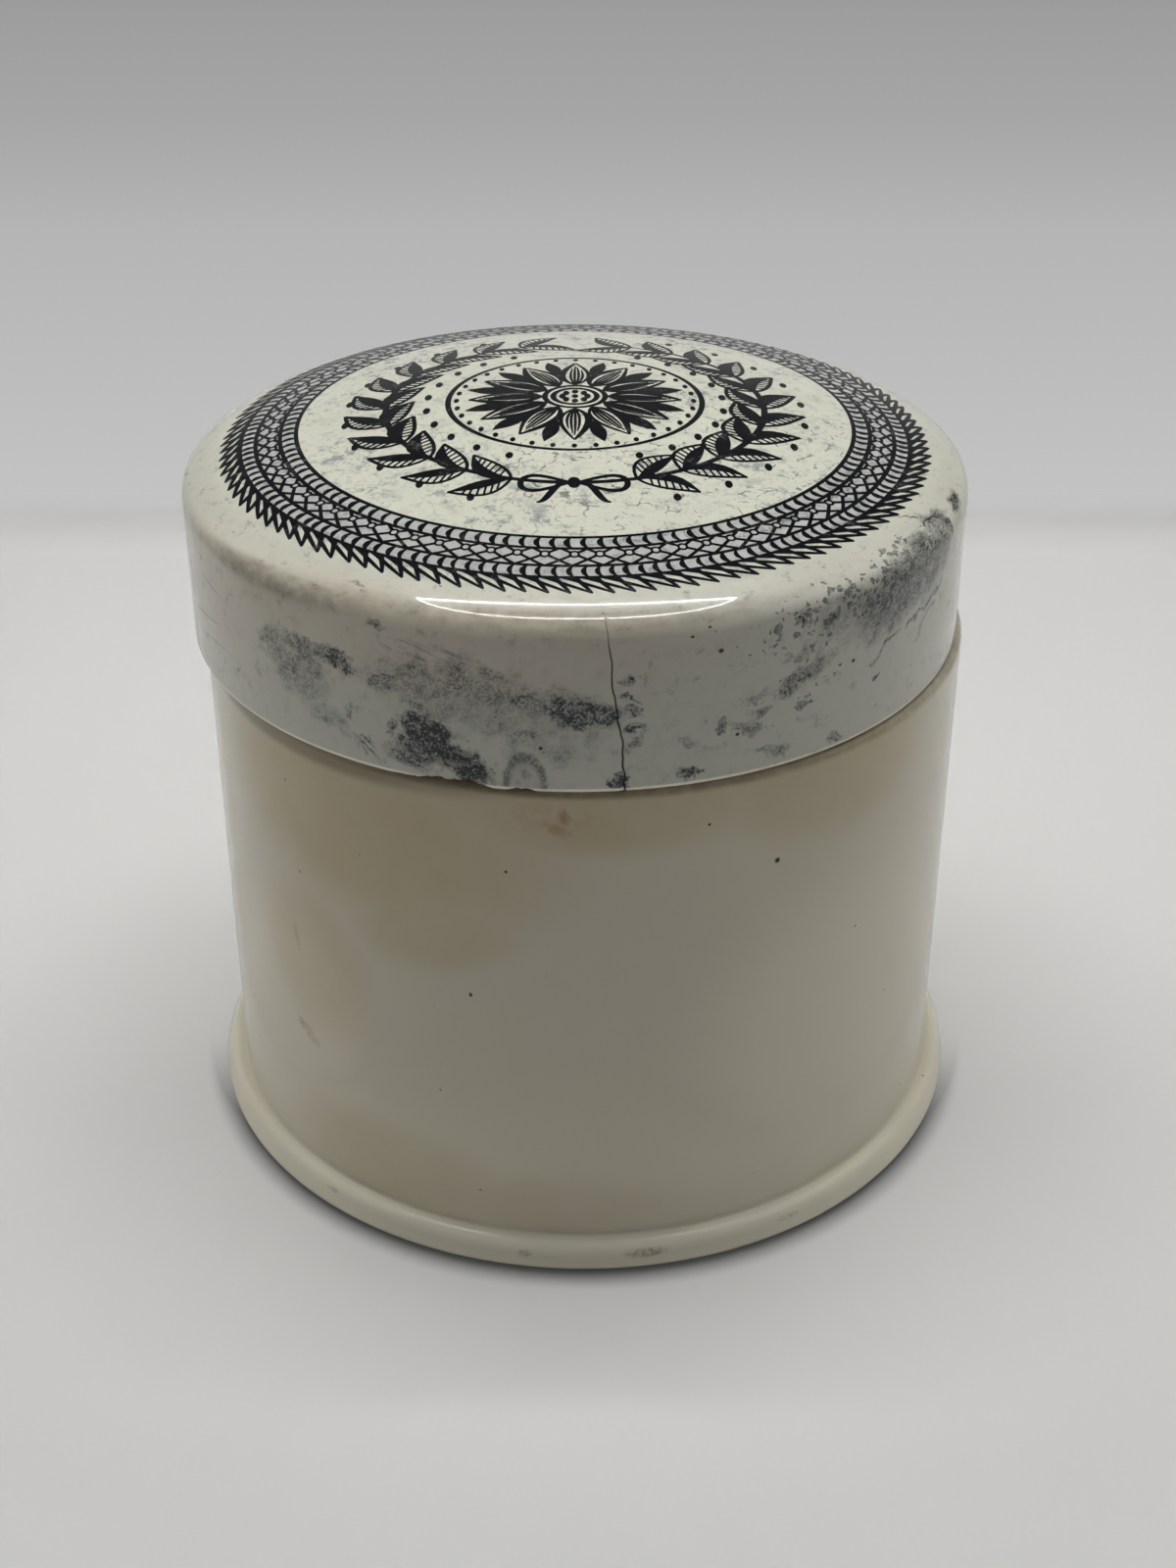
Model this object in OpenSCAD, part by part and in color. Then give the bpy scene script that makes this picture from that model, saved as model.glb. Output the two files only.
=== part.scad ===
// Cold cream pot: a round glazed earthenware pot and its lift-off lid.
// The origin is the middle of the foot, on the surface that the pot stands on. +Z is up, in mm.
// Each piece is one clay body turned about an upright axis, so each is one profile revolved.

/* [Pot] */
// Outside diameter of the straight wall
pot_d = 75.6; // [70:0.2:90]
// Height of the flat ledge that the lid rests on
ledge_h = 53.5; // [35:0.5:90]
// Rounding of the ledge's outer corner
ledge_round = 0.9; // [0.3:0.1:1]
// Thickness of the floor of the pot over the hollow under it
floor_t = 5; // [3:0.5:8]
// Rounding of the inside corner between floor and wall
floor_round = 7; // [3:0.5:12]

/* [Foot] */
// How far the bead round the foot stands out beyond the wall
foot_step = 2.25; // [2:0.05:3]
// Height of the top of the bead
bead_h = 3.1; // [2.8:0.1:3.6]
// Rounding of the bead's upper side
bead_r = 1.2; // [1:0.1:1.4]
// Height at which the bead is widest
toe_h = 0.85; // [0.7:0.05:1]
// Rounding of the bead where it is widest
toe_r = 0.4; // [0.3:0.05:0.5]
// Slope, in degrees, of the underside from there in to the standing ring
toe_slope = 19; // [18:1:24]
// Rounding where the wall rises from the bead
foot_cove = 0.5; // [0.3:0.1:0.6]
// Width of the flat ring that the pot stands on
ring_w = 5.2; // [3:0.2:10]
// Depth of the hollow inside the standing ring
hollow_h = 1.5; // [0.5:0.1:3]
// Sideways run of the ring's sloping inner side
hollow_run = 1.8; // [0.5:0.1:4]

/* [Neck] */
// Height of the neck above the ledge
neck_h = 12.5; // [8:0.5:14]
// Thickness of the neck
neck_t = 2.6; // [2:0.1:4]
// Rounding where the neck rises from the ledge
neck_cove = 0.5; // [0.2:0.1:0.5]

/* [Lid] */
// Outside diameter of the lid
lid_d = 76; // [74:0.2:90]
// Height of the lid from its rim to the top of its crown
lid_h = 21.8; // [21:0.2:30]
// Thickness of the lid's skirt
skirt_t = 2.9; // [2.5:0.1:4]
// Thickness of the lid's crown
crown_t = 3.6; // [2.5:0.1:4]
// Rounding of both edges of the lid's rim
rim_round = 0.5; // [0.2:0.1:0.7]
// Rounding of the inside corner between skirt and crown
corner_round = 3; // [1.5:0.5:4]

/* [Crown] */
// Height of the domed top above the straight part of the skirt
crown_h = 7.6; // [7:0.1:9]
// Radius of the soft shoulder round the crown
shoulder_r = 13; // [10:0.5:15]
// Radius of the tighter edge between shoulder and skirt
edge_r = 2; // [1.5:0.1:3]
// Slope, in degrees, where the shoulder runs into the edge
edge_slope = 33; // [30:1:36]

/* [Fit] */
// Gap all round between neck and lid when the lid sits in the middle
lid_gap = 1.2; // [0.8:0.05:2]
// Gap that is left on the tight side where the loose lid sits off to the left
tight_gap = 0.33; // [0.3:0.01:0.8]

/* [Hidden] */
$fn = 128;

// Steps in an arc that turns through a right angle, and in the long arc of the crown
corner_steps = 10;
crown_steps = 14;

// Radii of the pot, from the outside in
wall_r = pot_d / 2;
foot_r = wall_r + foot_step;

// The bead's upper and lower roundings are joined by the straight side that touches both
bead_x = wall_r + foot_cove;
bead_z = bead_h - bead_r;
toe_x = foot_r - toe_r;
bead_run = toe_x - bead_x;
bead_fall = bead_z - toe_h;
bead_gap = sqrt(pow(bead_run, 2) + pow(bead_fall, 2));
bead_side = acos((bead_r - toe_r) / bead_gap) - atan2(bead_fall, bead_run);

// The standing ring starts where the sloping underside comes down to the ground
stand_r = toe_x + toe_r * sin(toe_slope) - (toe_h - toe_r * cos(toe_slope)) / tan(toe_slope);
ring_r = stand_r - ring_w;

// Radii of the lid, and of the neck that it goes over
lid_r = lid_d / 2;
lid_bore_r = lid_r - skirt_t;
neck_r = lid_bore_r - lid_gap;
pot_bore_r = neck_r - neck_t;
lid_shift = lid_gap - tight_gap;

// Heights
floor_h = hollow_h + floor_t;
lip_h = ledge_h + neck_h;
lip_r = neck_t / 2;
top_h = ledge_h + lid_h;
skirt_h = top_h - crown_h;

// The crown is a wide arc that is tangent to the shoulder, which is tangent to the edge.
// Its slope where the shoulder starts, and its radius, follow from what those two leave.
crown_run = lid_r - edge_r * (1 - sin(edge_slope)) - shoulder_r * sin(edge_slope);
crown_drop = crown_h - edge_r * cos(edge_slope) - shoulder_r * (1 - cos(edge_slope));
crown_slope = 2 * atan(crown_drop / crown_run);
crown_r = shoulder_r + crown_run / sin(crown_slope);
crown_z = top_h - crown_r;
shoulder_x = crown_run;
shoulder_z = crown_z + (crown_r - shoulder_r) * cos(crown_slope);
edge_x = lid_r - edge_r;

// The underside of the crown has the same centre, and meets the skirt in a round corner
ceiling_r = crown_r - crown_t;
corner_x = lid_bore_r - corner_round;
corner_z = crown_z + sqrt(pow(ceiling_r - corner_round, 2) - pow(corner_x, 2));
corner_slope = asin(corner_x / (ceiling_r - corner_round));

// Points of an arc about [x, z], from angle a to angle b, measured from the +X side
function arc(x, z, r, a, b, steps) =
    [for (i = [0:steps]) [x + r * cos(a + (b - a) * i / steps), z + r * sin(a + (b - a) * i / steps)]];

// Bead, wall and ledge, from the standing ring up to the foot of the neck
function pot_outside() = concat(
    [[stand_r, 0]],
    arc(toe_x, toe_h, toe_r, toe_slope - 90, bead_side, corner_steps),
    arc(bead_x, bead_z, bead_r, bead_side, 90, corner_steps),
    arc(bead_x, bead_h + foot_cove, foot_cove, 270, 180, corner_steps),
    arc(wall_r - ledge_round, ledge_h - ledge_round, ledge_round, 0, 90, corner_steps),
    arc(neck_r + neck_cove, ledge_h + neck_cove, neck_cove, 270, 180, corner_steps));

// Round lip of the neck, then down the bore to the middle of the floor
function pot_inside() = concat(
    arc(neck_r - lip_r, lip_h - lip_r, lip_r, 0, 180, 2 * corner_steps),
    arc(pot_bore_r - floor_round, floor_h + floor_round, floor_round, 360, 270, corner_steps),
    [[0, floor_h]]);

// Hollow under the pot, from the middle out to the standing ring
function pot_underside() = [[0, hollow_h], [ring_r - hollow_run, hollow_h], [ring_r, 0]];

// Rim, skirt, edge, shoulder and crown, up to the middle of the top
function lid_outside() = concat(
    arc(lid_bore_r + rim_round, ledge_h + rim_round, rim_round, 180, 270, corner_steps),
    arc(lid_r - rim_round, ledge_h + rim_round, rim_round, 270, 360, corner_steps),
    arc(edge_x, skirt_h, edge_r, 0, 90 - edge_slope, corner_steps),
    arc(shoulder_x, shoulder_z, shoulder_r, 90 - edge_slope, 90 - crown_slope, corner_steps),
    arc(0, crown_z, crown_r, 90 - crown_slope, 90, crown_steps));

// Underside of the crown and the round corner where it meets the skirt
function lid_inside() = concat(
    arc(0, crown_z, ceiling_r, 90, 90 - corner_slope, crown_steps),
    arc(corner_x, corner_z, corner_round, 90 - corner_slope, 0, corner_steps));

module pot() {
    color([0.84, 0.80, 0.69])
    rotate_extrude()
    polygon(concat(pot_underside(), pot_outside(), pot_inside()));
}

// The lid is loose on the neck, and sits off to the left of the pot
module lid() {
    color([0.86, 0.86, 0.78])
    translate([-lid_shift, 0, 0])
    rotate_extrude()
    polygon(concat(lid_outside(), lid_inside()));
}

pot();
lid();
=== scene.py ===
"""Looks of a cold cream pot: a glazed earthenware pot with a bead round its foot, and a domed lid with an
engraved border printed under its glaze. Every surface is worked out with numpy. The formulas are in
millimetres, and MM turns them into Blender's metres."""

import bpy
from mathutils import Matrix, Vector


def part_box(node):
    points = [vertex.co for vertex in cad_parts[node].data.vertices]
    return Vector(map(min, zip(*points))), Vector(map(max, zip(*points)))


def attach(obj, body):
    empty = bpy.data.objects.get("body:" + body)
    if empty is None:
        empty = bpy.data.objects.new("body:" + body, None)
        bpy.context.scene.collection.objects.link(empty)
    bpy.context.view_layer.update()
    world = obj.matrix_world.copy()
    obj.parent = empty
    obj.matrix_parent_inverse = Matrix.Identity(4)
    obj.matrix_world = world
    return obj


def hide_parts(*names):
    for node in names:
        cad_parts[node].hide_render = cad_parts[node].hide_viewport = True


bl_info = {
    "name": "Cold Cream Pot",
    "version": (1, 0, 0),
    "blender": (4, 5, 0),
    "location": "3D View > Sidebar > Cold Cream Pot",
    "description": "Builds the glazed pot, the lid with its printed border, and the studio round them",
    "category": "Object",
}

import bpy
import numpy as np
from bpy.props import FloatProperty, FloatVectorProperty, IntProperty, PointerProperty

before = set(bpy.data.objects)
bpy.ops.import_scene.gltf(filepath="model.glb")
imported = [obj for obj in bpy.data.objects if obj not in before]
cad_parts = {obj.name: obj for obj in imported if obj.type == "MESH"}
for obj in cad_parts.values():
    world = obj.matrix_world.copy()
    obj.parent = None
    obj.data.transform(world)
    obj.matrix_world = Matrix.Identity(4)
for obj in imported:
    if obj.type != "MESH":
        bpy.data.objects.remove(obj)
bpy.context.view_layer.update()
POT_LOW, POT_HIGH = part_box("pot")
LID_LOW, LID_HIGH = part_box("lid")

MM = 0.001


def length(name, description, default):
    """A property that holds a length in metres."""
    return FloatProperty(name=name, description=description, default=default, unit="LENGTH", precision=5)


def colour(name, description, default):
    """A property that holds a colour in linear light."""
    return FloatVectorProperty(name=name, description=description, default=default, subtype="COLOR",
                               size=3, min=0.0, max=1.0)


class PotSizes(bpy.types.PropertyGroup):
    """The pot's outline, in the construction's own values."""
    foot_radius: length("Foot radius", "Outside of the bead round the foot", POT_HIGH.x)
    foot_step: length("Foot step", "How far the bead stands out beyond the wall", 2.25 * MM)
    bead_height: length("Bead height", "Height of the top of the bead", 3.1 * MM)
    bead_radius: length("Bead rounding", "Rounding of the bead's upper side", 1.2 * MM)
    toe_height: length("Toe height", "Height at which the bead is widest", 0.85 * MM)
    toe_radius: length("Toe rounding", "Rounding of the bead where it is widest", 0.4 * MM)
    toe_slope: FloatProperty(name="Toe slope", description="Slope of the underside in to the standing ring",
                             default=np.radians(19), unit="ROTATION")
    foot_cove: length("Foot cove", "Rounding where the wall rises from the bead", 0.5 * MM)
    ring_width: length("Ring width", "Width of the flat ring that the pot stands on", 5.2 * MM)
    hollow_height: length("Hollow height", "Depth of the hollow inside the ring", 1.5 * MM)
    hollow_run: length("Hollow run", "Sideways run of the ring's inner slope", 1.8 * MM)
    ledge_height: length("Ledge height", "Height of the ledge under the lid", LID_LOW.z)
    ledge_round: length("Ledge rounding", "Rounding of the ledge's outer corner", 0.9 * MM)
    lip_height: length("Lip height", "Top of the neck", POT_HIGH.z)
    neck_thickness: length("Neck thickness", "Thickness of the neck", 2.6 * MM)
    neck_cove: length("Neck cove", "Rounding where the neck rises from the ledge", 0.5 * MM)
    floor_thickness: length("Floor thickness", "Thickness of the floor over the hollow", 5.0 * MM)
    floor_round: length("Floor rounding", "Rounding between floor and wall inside", 7.0 * MM)


class LidSizes(bpy.types.PropertyGroup):
    """The lid's outline, in the construction's own values."""
    radius: length("Lid radius", "Outside of the skirt", (LID_HIGH.x - LID_LOW.x) / 2)
    centre: length("Lid centre", "How far the loose lid sits to the right of the pot",
                   (LID_HIGH.x + LID_LOW.x) / 2)
    rim_height: length("Rim height", "Height of the rim, on the ledge", LID_LOW.z)
    top_height: length("Top height", "Height of the middle of the crown", LID_HIGH.z)
    crown_height: length("Crown height", "Height of the domed top above the skirt", 7.6 * MM)
    shoulder_radius: length("Shoulder radius", "Soft arc round the crown", 13.0 * MM)
    edge_radius: length("Edge radius", "Tighter arc between shoulder and skirt", 2.0 * MM)
    edge_slope: FloatProperty(name="Edge slope", description="Slope where shoulder and edge meet",
                              default=np.radians(33), unit="ROTATION")
    skirt_thickness: length("Skirt thickness", "Thickness of the skirt", 2.9 * MM)
    crown_thickness: length("Crown thickness", "Thickness of the crown", 3.6 * MM)
    rim_round: length("Rim rounding", "Rounding of the rim's edges", 0.5 * MM)
    corner_round: length("Corner rounding", "Rounding of the inside corner", 3.0 * MM)
    bore_gap: length("Bore gap", "Gap between neck and lid when the lid sits in the middle", 1.2 * MM)


class PrintSizes(bpy.types.PropertyGroup):
    """The printed border and the ornament inside it."""
    inner_ring: length("Inner ring", "Radius of the border's inner circle", 26.8 * MM)
    net_ring: length("Net ring", "Radius of the circle inside the net", 28.35 * MM)
    rope_ring: length("Rope ring", "Radius of the circle outside the net", 30.7 * MM)
    outer_ring: length("Outer ring", "Radius of the circle that carries the fringe", 32.2 * MM)
    tip_ring: length("Tip ring", "Radius at the tips of the fringe", 34.2 * MM)
    line_width: length("Line width", "Width of a plain engraved line", 0.2 * MM)
    weight: FloatProperty(name="Ink weight", description="How much the ink has spread beyond each line",
                          default=1.6, min=0.1)
    ink_height: length("Ink height", "How far the ink stands over the glaze", 0.014 * MM)
    inner_arcs: IntProperty(name="Inner arcs", description="Arcs in the inner rope", default=129, min=12)
    net_cells: IntProperty(name="Net cells", description="Repeats of the net", default=77, min=12)
    outer_arcs: IntProperty(name="Outer arcs", description="Arcs in the outer rope", default=158, min=12)
    blades: IntProperty(name="Blades", description="Leaves of the fringe", default=116, min=12)
    wreath_radius: length("Wreath radius", "Radius of the wreath's stems", 18.2 * MM)
    leaf_pairs: IntProperty(name="Leaf pairs", description="Pairs of leaves on a branch", default=11, min=3)
    petals: IntProperty(name="Petals", description="Petals of the rosette", default=12, min=3)


class PotColours(bpy.types.PropertyGroup):
    """Colours of the glazes, the ink and the dirt."""
    cream: colour("Cream glaze", "The pot's glaze", (0.605, 0.567, 0.44))
    cream_cloud: colour("Cream cloud", "Soft clouds in the pot's glaze", (0.595, 0.557, 0.45))
    # Partly painted light: low on the wall this paler glaze lifts the shade near the floor.
    pale_cream_and_painted_light: colour("Pale cream", "The pot's glaze low on its wall", (0.80, 0.76, 0.60))
    bead: colour("Bead glaze", "The pale thick glaze on the bead", (0.77, 0.73, 0.58))
    # Painted highlight: this paler band on the bead's front stands in for the lamps' sheen there.
    bead_painted_highlight: colour("Bead front", "The palest glaze, low on the bead's front", (0.99, 0.96, 0.79))
    tan: colour("Tan stain", "Old stains in the pot's glaze", (0.47, 0.36, 0.17))
    rust: colour("Rust", "Small rusty marks on the pot", (0.33, 0.17, 0.07))
    pot_speck: colour("Pot speck", "Fine specks in the pot's glaze", (0.13, 0.11, 0.09))
    pot_spot: colour("Pot spot", "Black spots in the pot's glaze", (0.03, 0.025, 0.02))
    smear: colour("Smear", "Brown smears on the bead", (0.14, 0.12, 0.075))
    # Both dirt and painted shade: it also darkens under the lid's rim and, a little, the corner over the
    # bead.
    dirt_and_shade: colour("Dirt", "Brown dirt along edges", (0.10, 0.065, 0.035))
    white: colour("White glaze", "The lid's glaze", (0.63, 0.635, 0.54))
    white_cloud: colour("White cloud", "Soft clouds in the lid's glaze", (0.61, 0.62, 0.53))
    # Painted shade: this greyer glaze darkens skirt and shoulder where the light falls off.
    skirt: colour("Skirt glaze", "The lid's glaze on its skirt and shoulder", (0.55, 0.55, 0.475))
    # Partly painted light: besides browning, this warms the skirt's front and left as warm light from the
    # front would.
    warm_glaze_and_light: colour("Warm glaze", "The skirt's glaze where it has browned a little", (0.58, 0.54, 0.44))
    # Partly painted shade: besides thin dirt at the left, this darkens the front of the shoulder where it
    # turns from the light.
    grime_and_shade: colour("Grime", "Thin dirt along the foot of the shoulder", (0.215, 0.185, 0.135))
    tinted: colour("Tinted glaze", "The glaze greyed by ink under the border", (0.44, 0.445, 0.44))
    mottle: colour("Mottle", "Pale grey clouds in the lid's glaze", (0.24, 0.262, 0.278))
    craze: colour("Craze line", "Dirt in the fine cracks of the crown's glaze", (0.10, 0.10, 0.105))
    ink: colour("Ink", "The printed lines", (0.006, 0.007, 0.009))
    worn_ink: colour("Worn ink", "Printed lines where their ink is thin", (0.30, 0.31, 0.31))
    smudge: colour("Smudge", "Blue-grey smudges of printing ink", (0.030, 0.036, 0.046))
    dark_smudge: colour("Dark smudge", "The thickest smudge of ink", (0.014, 0.016, 0.020))
    flake: colour("Flake", "Glaze that shows through the thickest smudge", (0.25, 0.235, 0.18))
    splash: colour("Splash", "Nearly black splashes right on the shoulder", (0.02, 0.022, 0.025))
    lid_speck: colour("Lid speck", "Fine specks in the lid's glaze", (0.07, 0.07, 0.07))
    lid_spot: colour("Lid spot", "Black spots in the lid's glaze", (0.03, 0.028, 0.025))
    hairline: colour("Hairline", "Thin scratches at the left of the skirt", (0.10, 0.09, 0.08))
    # Partly a painted highlight: the pale line along the rim's lower edge also stands in for light caught
    # there.
    worn_rim_and_highlight: colour("Worn rim", "The glaze worn pale along the rim", (0.95, 0.90, 0.78))
    clay: colour("Clay", "The bare clay in a chip", (0.38, 0.33, 0.25))
    crack: colour("Crack", "The crack through the skirt", (0.018, 0.015, 0.013))


class StudioSizes(bpy.types.PropertyGroup):
    """The camera, the lamps and the plain surroundings."""
    camera_x: length("Camera x", "Camera's place to the right", 0.38 * MM)
    camera_back: length("Camera back", "Camera's distance in front of the pot's axis", 199.0 * MM)
    camera_height: length("Camera height", "Camera's height", 150.06 * MM)
    camera_pitch: FloatProperty(name="Camera pitch", description="How far the camera looks down",
                                default=np.radians(30.68), unit="ROTATION")
    camera_lens: FloatProperty(name="Lens", description="Focal length on a 36 mm frame", default=50.05,
                               unit="CAMERA")
    wall_back: length("Backdrop", "Distance of the backdrop behind the pot's axis", 133.0 * MM)
    lamp_height: length("Lamp height", "Height of both lamps", 340.0 * MM)
    lamp_half: length("Lamp half length", "Half the length of both lamps", 112.0 * MM)
    bar_back: length("Bar back", "Distance of the straight lamp behind the pot's axis", 40.0 * MM)
    bar_width: length("Bar width", "Width of the straight lamp", 5.4 * MM)
    bow_front: length("Bow front", "Distance of the curved lamp's middle before the pot's axis", 26.0 * MM)
    bow_width: length("Bow width", "Width of the curved lamp", 1.8 * MM)
    lamp_strength: FloatProperty(name="Lamp strength", description="Brightness of both lamps",
                                 default=65.0, min=0.0)
    ceiling_glow: FloatProperty(name="Ceiling glow", description="Brightness of the tent's ceiling",
                                default=0.75, min=0.0)
    floor: colour("Floor", "Pale floor", (0.80, 0.80, 0.80))
    floor_look: colour("Floor's look", "How strongly the floor shows the light on it", (0.54, 0.54, 0.54))
    # Painted light: these two looks lighten the floor before the pot, close to the foot and farther out.
    floor_near_painted_light: colour("Near floor's look", "The same, close before the foot", (0.66, 0.66, 0.66))
    floor_far_painted_light: colour("Far floor's look", "The same, well before the pot", (0.585, 0.585, 0.585))
    floor_aside: colour("Floor outside", "Tone of the floor outside the tent", (0.60, 0.60, 0.595))
    floor_shade: colour("Floor in shade", "How the floor looks where no light falls", (0.16, 0.16, 0.16))
    # Painted shadow: the darkening of the floor before the foot is painted and ends at this radius.
    painted_contact_radius: length("Contact shade", "Radius at which the shade before the foot ends", 42.5 * MM)
    box: colour("Tent walls", "White cloth of the light tent", (0.70, 0.70, 0.69))
    tent_half: length("Tent half width", "Distance of the tent's side walls from the middle", 160.0 * MM)
    lamp_colour: colour("Lamp colour", "Colour of both lamps", (1.0, 0.985, 0.96))
    room: colour("Room", "The dim room's light on the pot", (0.08, 0.08, 0.083))
    room_look: colour("Room's look", "The grey that the room shows as", (0.50, 0.50, 0.50))


GROUPS = {"pot_sizes": PotSizes, "lid_sizes": LidSizes, "print_sizes": PrintSizes,
          "pot_colours": PotColours, "studio_sizes": StudioSizes}


class Millimetres:
    """Reads a property group's lengths in millimetres."""

    def __init__(self, group):
        self.group = group

    def __getattr__(self, name):
        """The group's length of that name, in millimetres."""
        return getattr(self.group, name) / MM


def settings(name):
    """The scene's property group of that name."""
    return getattr(bpy.context.scene, name)


# Outlines

def arc(x, z, radius, start, end, spacing=0.4):
    """Points on a circle round (x, z), turning from start to end in degrees, about spacing apart."""
    steps = max(4, int(np.ceil(abs(np.radians(end - start)) * radius / spacing)) + 1)
    turn = np.radians(np.linspace(start, end, steps))
    return np.stack([x + radius * np.cos(turn), z + radius * np.sin(turn)], axis=1)


def line(x_a, z_a, x_b, z_b, spacing):
    """Evenly spaced points on the straight line from a to b, both ends included."""
    steps = max(2, int(np.ceil(np.hypot(x_b - x_a, z_b - z_a) / spacing)) + 1)
    share = np.linspace(0, 1, steps)
    return np.stack([x_a + (x_b - x_a) * share, z_a + (z_b - z_a) * share], axis=1)


def outline(pieces, spacing):
    """Joins pieces of an outline in order, and fills the straight gap before each piece with points."""
    path = pieces[0]
    for piece in pieces[1:]:
        gap = line(*path[-1], *piece[0], spacing)
        path = np.concatenate([path, gap[1:-1], piece])
    step = np.hypot(*np.diff(path, axis=0).T)
    return path[np.concatenate([[True], step > 1e-4])]


def pot_outline():
    """Underside, bead, wall, ledge, neck, lip, bore and floor, from the axis out and back to the axis."""
    pot = Millimetres(settings("pot_sizes"))
    lid = Millimetres(settings("lid_sizes"))
    under = settings("pot_sizes").toe_slope
    wall = pot.foot_radius - pot.foot_step
    bead_x = wall + pot.foot_cove
    bead_z = pot.bead_height - pot.bead_radius
    toe_x = pot.foot_radius - pot.toe_radius
    run = toe_x - bead_x
    fall = bead_z - pot.toe_height
    side = np.degrees(np.arccos((pot.bead_radius - pot.toe_radius) / np.hypot(run, fall))
                      - np.arctan2(fall, run))
    stand = (toe_x + pot.toe_radius * np.sin(under)
             - (pot.toe_height - pot.toe_radius * np.cos(under)) / np.tan(under))
    ring = stand - pot.ring_width
    neck = lid.radius - lid.skirt_thickness - lid.bore_gap
    bore = neck - pot.neck_thickness
    lip = pot.neck_thickness / 2
    floor = pot.hollow_height + pot.floor_thickness
    return outline([
        line(0, pot.hollow_height, ring - pot.hollow_run, pot.hollow_height, 4),
        line(ring, 0, stand, 0, 1),
        arc(toe_x, pot.toe_height, pot.toe_radius, np.degrees(under) - 90, side, 0.12),
        arc(bead_x, bead_z, pot.bead_radius, side, 90, 0.2),
        arc(bead_x, pot.bead_height + pot.foot_cove, pot.foot_cove, 270, 180, 0.15),
        arc(wall - pot.ledge_round, pot.ledge_height - pot.ledge_round, pot.ledge_round, 0, 90, 0.2),
        arc(neck + pot.neck_cove, pot.ledge_height + pot.neck_cove, pot.neck_cove, 270, 180, 0.2),
        arc(neck - lip, pot.lip_height - lip, lip, 0, 180, 0.3),
        arc(bore - pot.floor_round, floor + pot.floor_round, pot.floor_round, 360, 270, 1.2),
        line(0, floor, 0, floor, 1)], 1.1)


class Crown:
    """The lid's top as three arcs, each tangent to the next: a wide crown, a soft shoulder, a tight edge."""

    def __init__(self):
        lid = Millimetres(settings("lid_sizes"))
        slope = settings("lid_sizes").edge_slope
        run = lid.radius - lid.edge_radius * (1 - np.sin(slope)) - lid.shoulder_radius * np.sin(slope)
        drop = (lid.crown_height - lid.edge_radius * np.cos(slope)
                - lid.shoulder_radius * (1 - np.cos(slope)))
        self.edge_slope = np.degrees(slope)
        self.slope = np.degrees(2 * np.arctan(drop / run))
        self.radius = lid.shoulder_radius + run / np.sin(np.radians(self.slope))
        self.height = lid.top_height - self.radius
        self.shoulder = lid.shoulder_radius
        self.shoulder_x = run
        self.shoulder_z = self.height + (self.radius - self.shoulder) * np.cos(np.radians(self.slope))
        self.edge_x = lid.radius - lid.edge_radius
        self.skirt = lid.top_height - lid.crown_height
        self.centre = lid.centre

    def top(self, radius):
        """Height of the crown, or past its end of the shoulder, at a distance from the lid's axis."""
        crown = self.height + np.sqrt(self.radius ** 2 - radius ** 2)
        out = np.clip(radius - self.shoulder_x, 0, self.shoulder * 0.99)
        shoulder = self.shoulder_z + np.sqrt(self.shoulder ** 2 - out ** 2)
        return np.where(radius < self.radius * np.sin(np.radians(self.slope)), crown, shoulder)


def lid_outline():
    """Ceiling, inside corner, bore, rim, skirt, edge, shoulder and crown, from the axis out and back."""
    lid = Millimetres(settings("lid_sizes"))
    crown = Crown()
    bore = lid.radius - lid.skirt_thickness
    ceiling = crown.radius - lid.crown_thickness
    corner_x = bore - lid.corner_round
    corner_slope = np.degrees(np.arcsin(corner_x / (ceiling - lid.corner_round)))
    corner_z = crown.height + np.sqrt((ceiling - lid.corner_round) ** 2 - corner_x ** 2)
    round_z = lid.rim_height + lid.rim_round
    chipped_to = lid.rim_height + 2.4
    return outline([
        arc(0, crown.height, ceiling, 90, 90 - corner_slope, 3),
        arc(corner_x, corner_z, lid.corner_round, 90 - corner_slope, 0, 0.8),
        arc(bore + lid.rim_round, round_z, lid.rim_round, 180, 270, 0.2),
        line(bore + lid.rim_round, lid.rim_height, lid.radius - lid.rim_round, lid.rim_height, 0.25),
        arc(lid.radius - lid.rim_round, round_z, lid.rim_round, 270, 360, 0.12),
        line(lid.radius, round_z, lid.radius, chipped_to, 0.12),
        line(lid.radius, chipped_to, lid.radius, crown.skirt, 0.55),
        arc(crown.edge_x, crown.skirt, lid.edge_radius, 0, 90 - crown.edge_slope, 0.25),
        arc(crown.shoulder_x, crown.shoulder_z, crown.shoulder, 90 - crown.edge_slope, 90 - crown.slope, 0.4),
        arc(0, crown.height, crown.radius, 90 - crown.slope, 90, 1.3)], 1.8)


# Meshes

def mesh_object(name, points, faces, masks=None, smooth=True):
    """A mesh object from points in millimetres, faces as arrays of corners, and masks per point."""
    mesh = bpy.data.meshes.new(name)
    mesh.from_pydata((points * MM).tolist(), [], [face for block in faces for face in block.tolist()])
    if smooth:
        mesh.shade_smooth()
    for mask_name, mask in (masks or {}).items():
        layer = mesh.attributes.new(mask_name, "FLOAT", "POINT")
        layer.data.foreach_set("value", mask.astype(np.float32))
    piece = bpy.data.objects.new(name, mesh)
    bpy.context.scene.collection.objects.link(piece)
    return piece


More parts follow.
